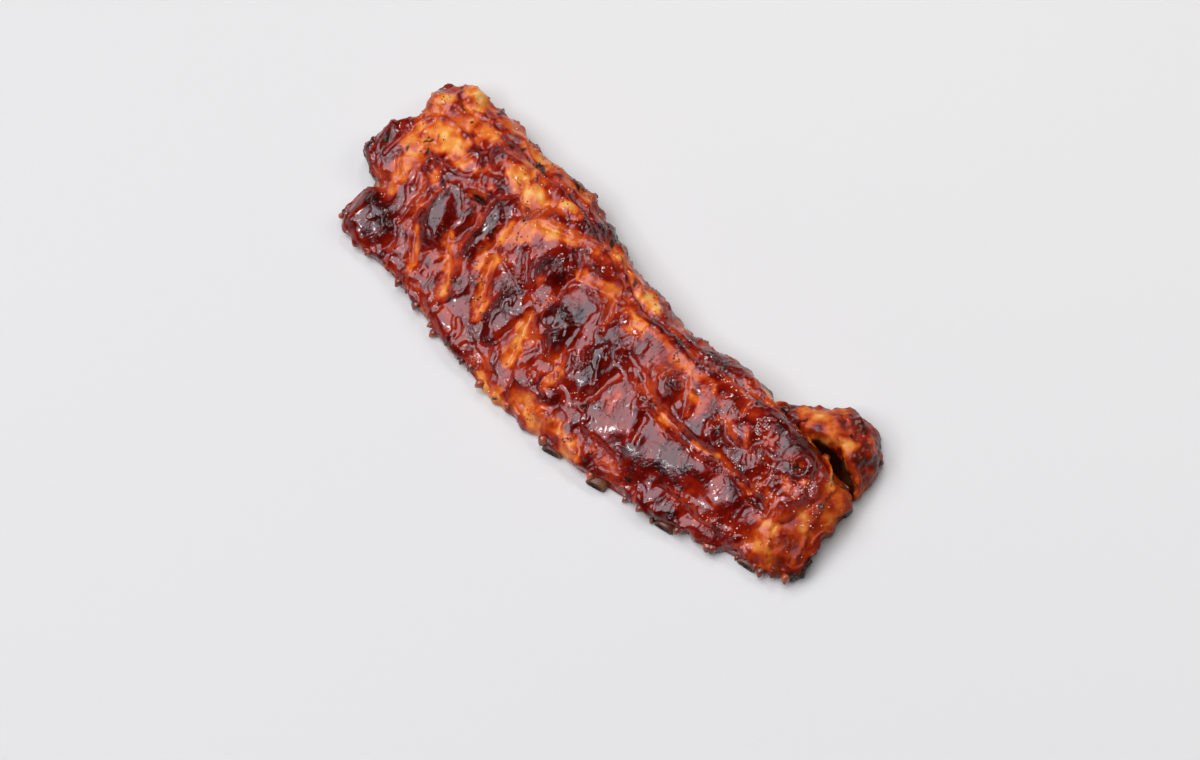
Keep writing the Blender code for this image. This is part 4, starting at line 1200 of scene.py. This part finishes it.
# %% A finish for small things
def small_finish(name, pieces, shades, wander_mm, detail, crust=None, crusted_coat=False, **settings):
    """A material on some pieces: a ramp of shades on noise wander_mm wide.

    crust is the depth in mm and the strength of its bump, if any. crusted_coat gives the coat that bump
    too. settings are the shader's own, with _ for a space.
    """
    finish, tree = empty_material(name)
    place = node(tree, "TexCoord", {}, out="Object")
    tint = node(tree, "TexNoise", {"Vector": place, "Scale": NOISE_SCALE / wander_mm, "Detail": detail})
    links = {"Base Color": node(tree, "ValToRGB", {"Fac": tint}, stops=shades)}
    if crust:
        depth_mm, strength = crust
        bump = {"Height": tint, "Distance": depth_mm * MM, "Strength": strength}
        links["Normal"] = node(tree, "Bump", bump)
    if crusted_coat:
        links["Coat Normal"] = links["Normal"]
    for key, value in settings.items():
        links[key.replace("_", " ")] = value
    node(tree, "OutputMaterial", {"Surface": node(tree, "BsdfPrincipled", links)})
    for piece in pieces:
        piece.data.materials.append(finish)
    print(name, "on", [piece.name for piece in pieces])


# Beads are sauce all through: dark red, and wetter than the glaze
small_finish(
    "set_sauce_beads", [scattered["sauce_beads"]], ((0.35, "#5E1006"), (0.65, "#A83A10")), 12, 1,
    Roughness=0.15, IOR=SYRUP_IOR, Coat_Weight=1.0, Coat_Roughness=0.03, Coat_IOR=SYRUP_IOR,
)
# Bubbles are coloured pale, nearly white: a painted glint on each, where a lamp's own glint would be too
# small to show
small_finish(
    "bubbles_painted_with_glints", [scattered["painted_glint_bubbles"]], ((0.35, "#E0A088"), (0.65, "#FFEAE2")), 6, 1,
    Roughness=0.2, IOR=SYRUP_IOR, Coat_Weight=1.0, Coat_Roughness=0.05, Coat_IOR=SYRUP_IOR,
)
# Tips of meat stick out and roast first: brown to black, crusted, with sauce baked on
small_finish(
    "crisp_meat_tips", [torn_tips], ((0.3, "#3A1008"), (0.5, "#7A240B"), (0.7, "#B24E18")), 4, 3,
    crust=(0.8, 0.6), crusted_coat=True,
    Roughness=0.4, IOR=SYRUP_IOR, Coat_Weight=0.8, Coat_Roughness=0.12, Coat_IOR=SYRUP_IOR,
)
# Pepper and char are nearly black and dry, with a faint shine of fat
small_finish(
    "pepper_and_char", [scattered["pepper_grains"], scattered["char_flakes"]],
    ((0.35, "#120907"), (0.65, "#38180D")), 3, 2, crust=(0.4, 0.5),
    Roughness=0.55, IOR=1.5, Coat_Weight=0.35, Coat_Roughness=0.2,
)

# %% [markdown]
# ## Everything in its place
#
# Each piece rides on the part's one body and stands for the solids that it covers.

# %% Pieces and solids
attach(glazed_meat, "root")
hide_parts("meat")
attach(folded_flap, "root")
for piece in (*scattered.values(), torn_tips):
    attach(piece, "root")
for rib, bone in enumerate(bones):
    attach(bone, "root")
    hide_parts(f"rib_bone_{rib + 1:02d}")
print("pieces placed:", 2 + len(scattered) + 1 + len(bones))

# %% [markdown]
# ## Floor and lamps
#
# The rack lies on a pale floor. Three small lamps give the wet sauce its glints, each on slopes that face
# another way, and a large soft one on the far side keeps that side from going dark.

# %% Where things stand
AIM = np.array([0.0177, -0.0187, 0.0])
FLOOR_REACH = 4.0


def pointing(azimuth, elevation):
    """The unit vector towards a place in the sky, from its azimuth and elevation in degrees."""
    turn, rise = math.radians(azimuth), math.radians(elevation)
    return Vector((math.sin(turn) * math.cos(rise), -math.cos(turn) * math.cos(rise), math.sin(rise)))


def set_facing(thing, azimuth, elevation, distance):
    """Puts a lamp or a camera that far away in that direction, turned to face the rack."""
    back = pointing(azimuth, elevation)
    thing.location = Vector(AIM) + back * distance
    thing.rotation_euler = back.to_track_quat("Z", "Y").to_euler()
    bpy.context.scene.collection.objects.link(thing)


print("azimuth 90 and elevation 0 points along", tuple(round(value, 2) for value in pointing(90, 0)))

# %% The floor
corners = [(x * FLOOR_REACH, y * FLOOR_REACH, 0) for x, y in ((-1, -1), (1, -1), (1, 1), (-1, 1))]
floor_mesh = bpy.data.meshes.new("floor")
floor_mesh.from_pydata(corners, [], [(0, 1, 2, 3)])
floor = bpy.data.objects.new("floor", floor_mesh)
bpy.context.scene.collection.objects.link(floor)
floor_finish, tree = empty_material("pale_floor")
matt = node(tree, "BsdfPrincipled", {"Base Color": "#D3D0CA", "Roughness": 0.5})
node(tree, "OutputMaterial", {"Surface": matt})
floor_mesh.materials.append(floor_finish)
print("floor", 2 * FLOOR_REACH, "m square")

# %% The lamps
# Azimuth and elevation in degrees, distance and width in metres, power in watts
LAMPS = {
    "spark": (345, 52, 1.7, 0.15, 2.2),
    "second_spark": (215, 50, 1.7, 0.20, 3.2),
    "third_spark": (275, 48, 1.7, 0.14, 2.4),
    "far_light": (150, 45, 2.0, 0.7, 7),
}
for name, (azimuth, elevation, distance, width, power) in LAMPS.items():
    lamp = bpy.data.lights.new(name, "AREA")
    lamp.size, lamp.energy = width, power
    set_facing(bpy.data.objects.new(name, lamp), azimuth, elevation, distance)
print(len(LAMPS), "lamps")

# %% [markdown]
# ## The glow overhead
#
# A wide soft glow hangs overhead, which the wet sauce mirrors as broad patches with soft edges. It is part
# of the world, as a ramp on the cosine of the angle from its middle. To draw it out sideways into an oval,
# the square of how far a direction lies to its side is added to that cosine. Near the horizon the world is
# pale, as the walls of a studio are.

# %% The world
GLOW_AZIMUTH, GLOW_HEIGHT, GLOW_STRENGTH = 310, 68, 4.35
GLOW_DRAWN_OUT = 0.18
GLOW = ((0.855, "#07080A"), (0.900, "#A6ABB8"), (0.930, "#F3F5FF"))
HORIZON = ((0.08, "#66676A"), (0.24, "#000000"))

middle = pointing(GLOW_AZIMUTH, GLOW_HEIGHT)
sideways = (Vector((0, -1, 0)) + middle * middle.y).normalized()
world = bpy.data.worlds.new("studio")
world.use_nodes = True
tree = world.node_tree
tree.nodes.clear()
sky = node(tree, "TexCoord", {}, out="Generated")
towards = node(tree, "VectorMath", {0: sky, 1: tuple(middle)}, out="Value", operation="DOT_PRODUCT")
aside = node(tree, "VectorMath", {0: sky, 1: tuple(sideways)}, out="Value", operation="DOT_PRODUCT")
aside = node(tree, "Math", {0: aside, 1: aside}, **MULTIPLY)
towards = node(tree, "Math", {0: aside, 1: GLOW_DRAWN_OUT, 2: towards}, **MULTIPLY_ADD)
glow = node(tree, "ValToRGB", {"Fac": towards}, stops=GLOW)
rise = node(tree, "SeparateXYZ", {"Vector": sky}, out="Z")
horizon = node(tree, "ValToRGB", {"Fac": rise}, stops=HORIZON)
glow = node(tree, "Mix", {0: 1.0, COLOUR_A: glow, COLOUR_B: horizon}, blend_type="ADD", **MIX_COLOURS)
node(tree, "OutputWorld", {"Surface": node(tree, "Background", {"Color": glow, "Strength": GLOW_STRENGTH})})
bpy.context.scene.world = world
bpy.context.scene.view_settings.view_transform = "Standard"
print("the glow's middle is towards", tuple(round(value, 2) for value in middle))

# %% [markdown]
# ## Camera
#
# The camera looks down from well above, from the corner of the thin side, through a long lens.

# %% The camera
CAMERA_AZIMUTH, CAMERA_HEIGHT = 44.5, 68
CAMERA_DISTANCE, LENS, SENSOR = 2.394, 108.0, 36.0

lens = bpy.data.cameras.new("camera")
lens.lens, lens.sensor_width = LENS, SENSOR
camera = bpy.data.objects.new("camera", lens)
set_facing(camera, CAMERA_AZIMUTH, CAMERA_HEIGHT, CAMERA_DISTANCE)
bpy.context.scene.camera = camera
print("camera at", tuple(round(value, 3) for value in camera.location))
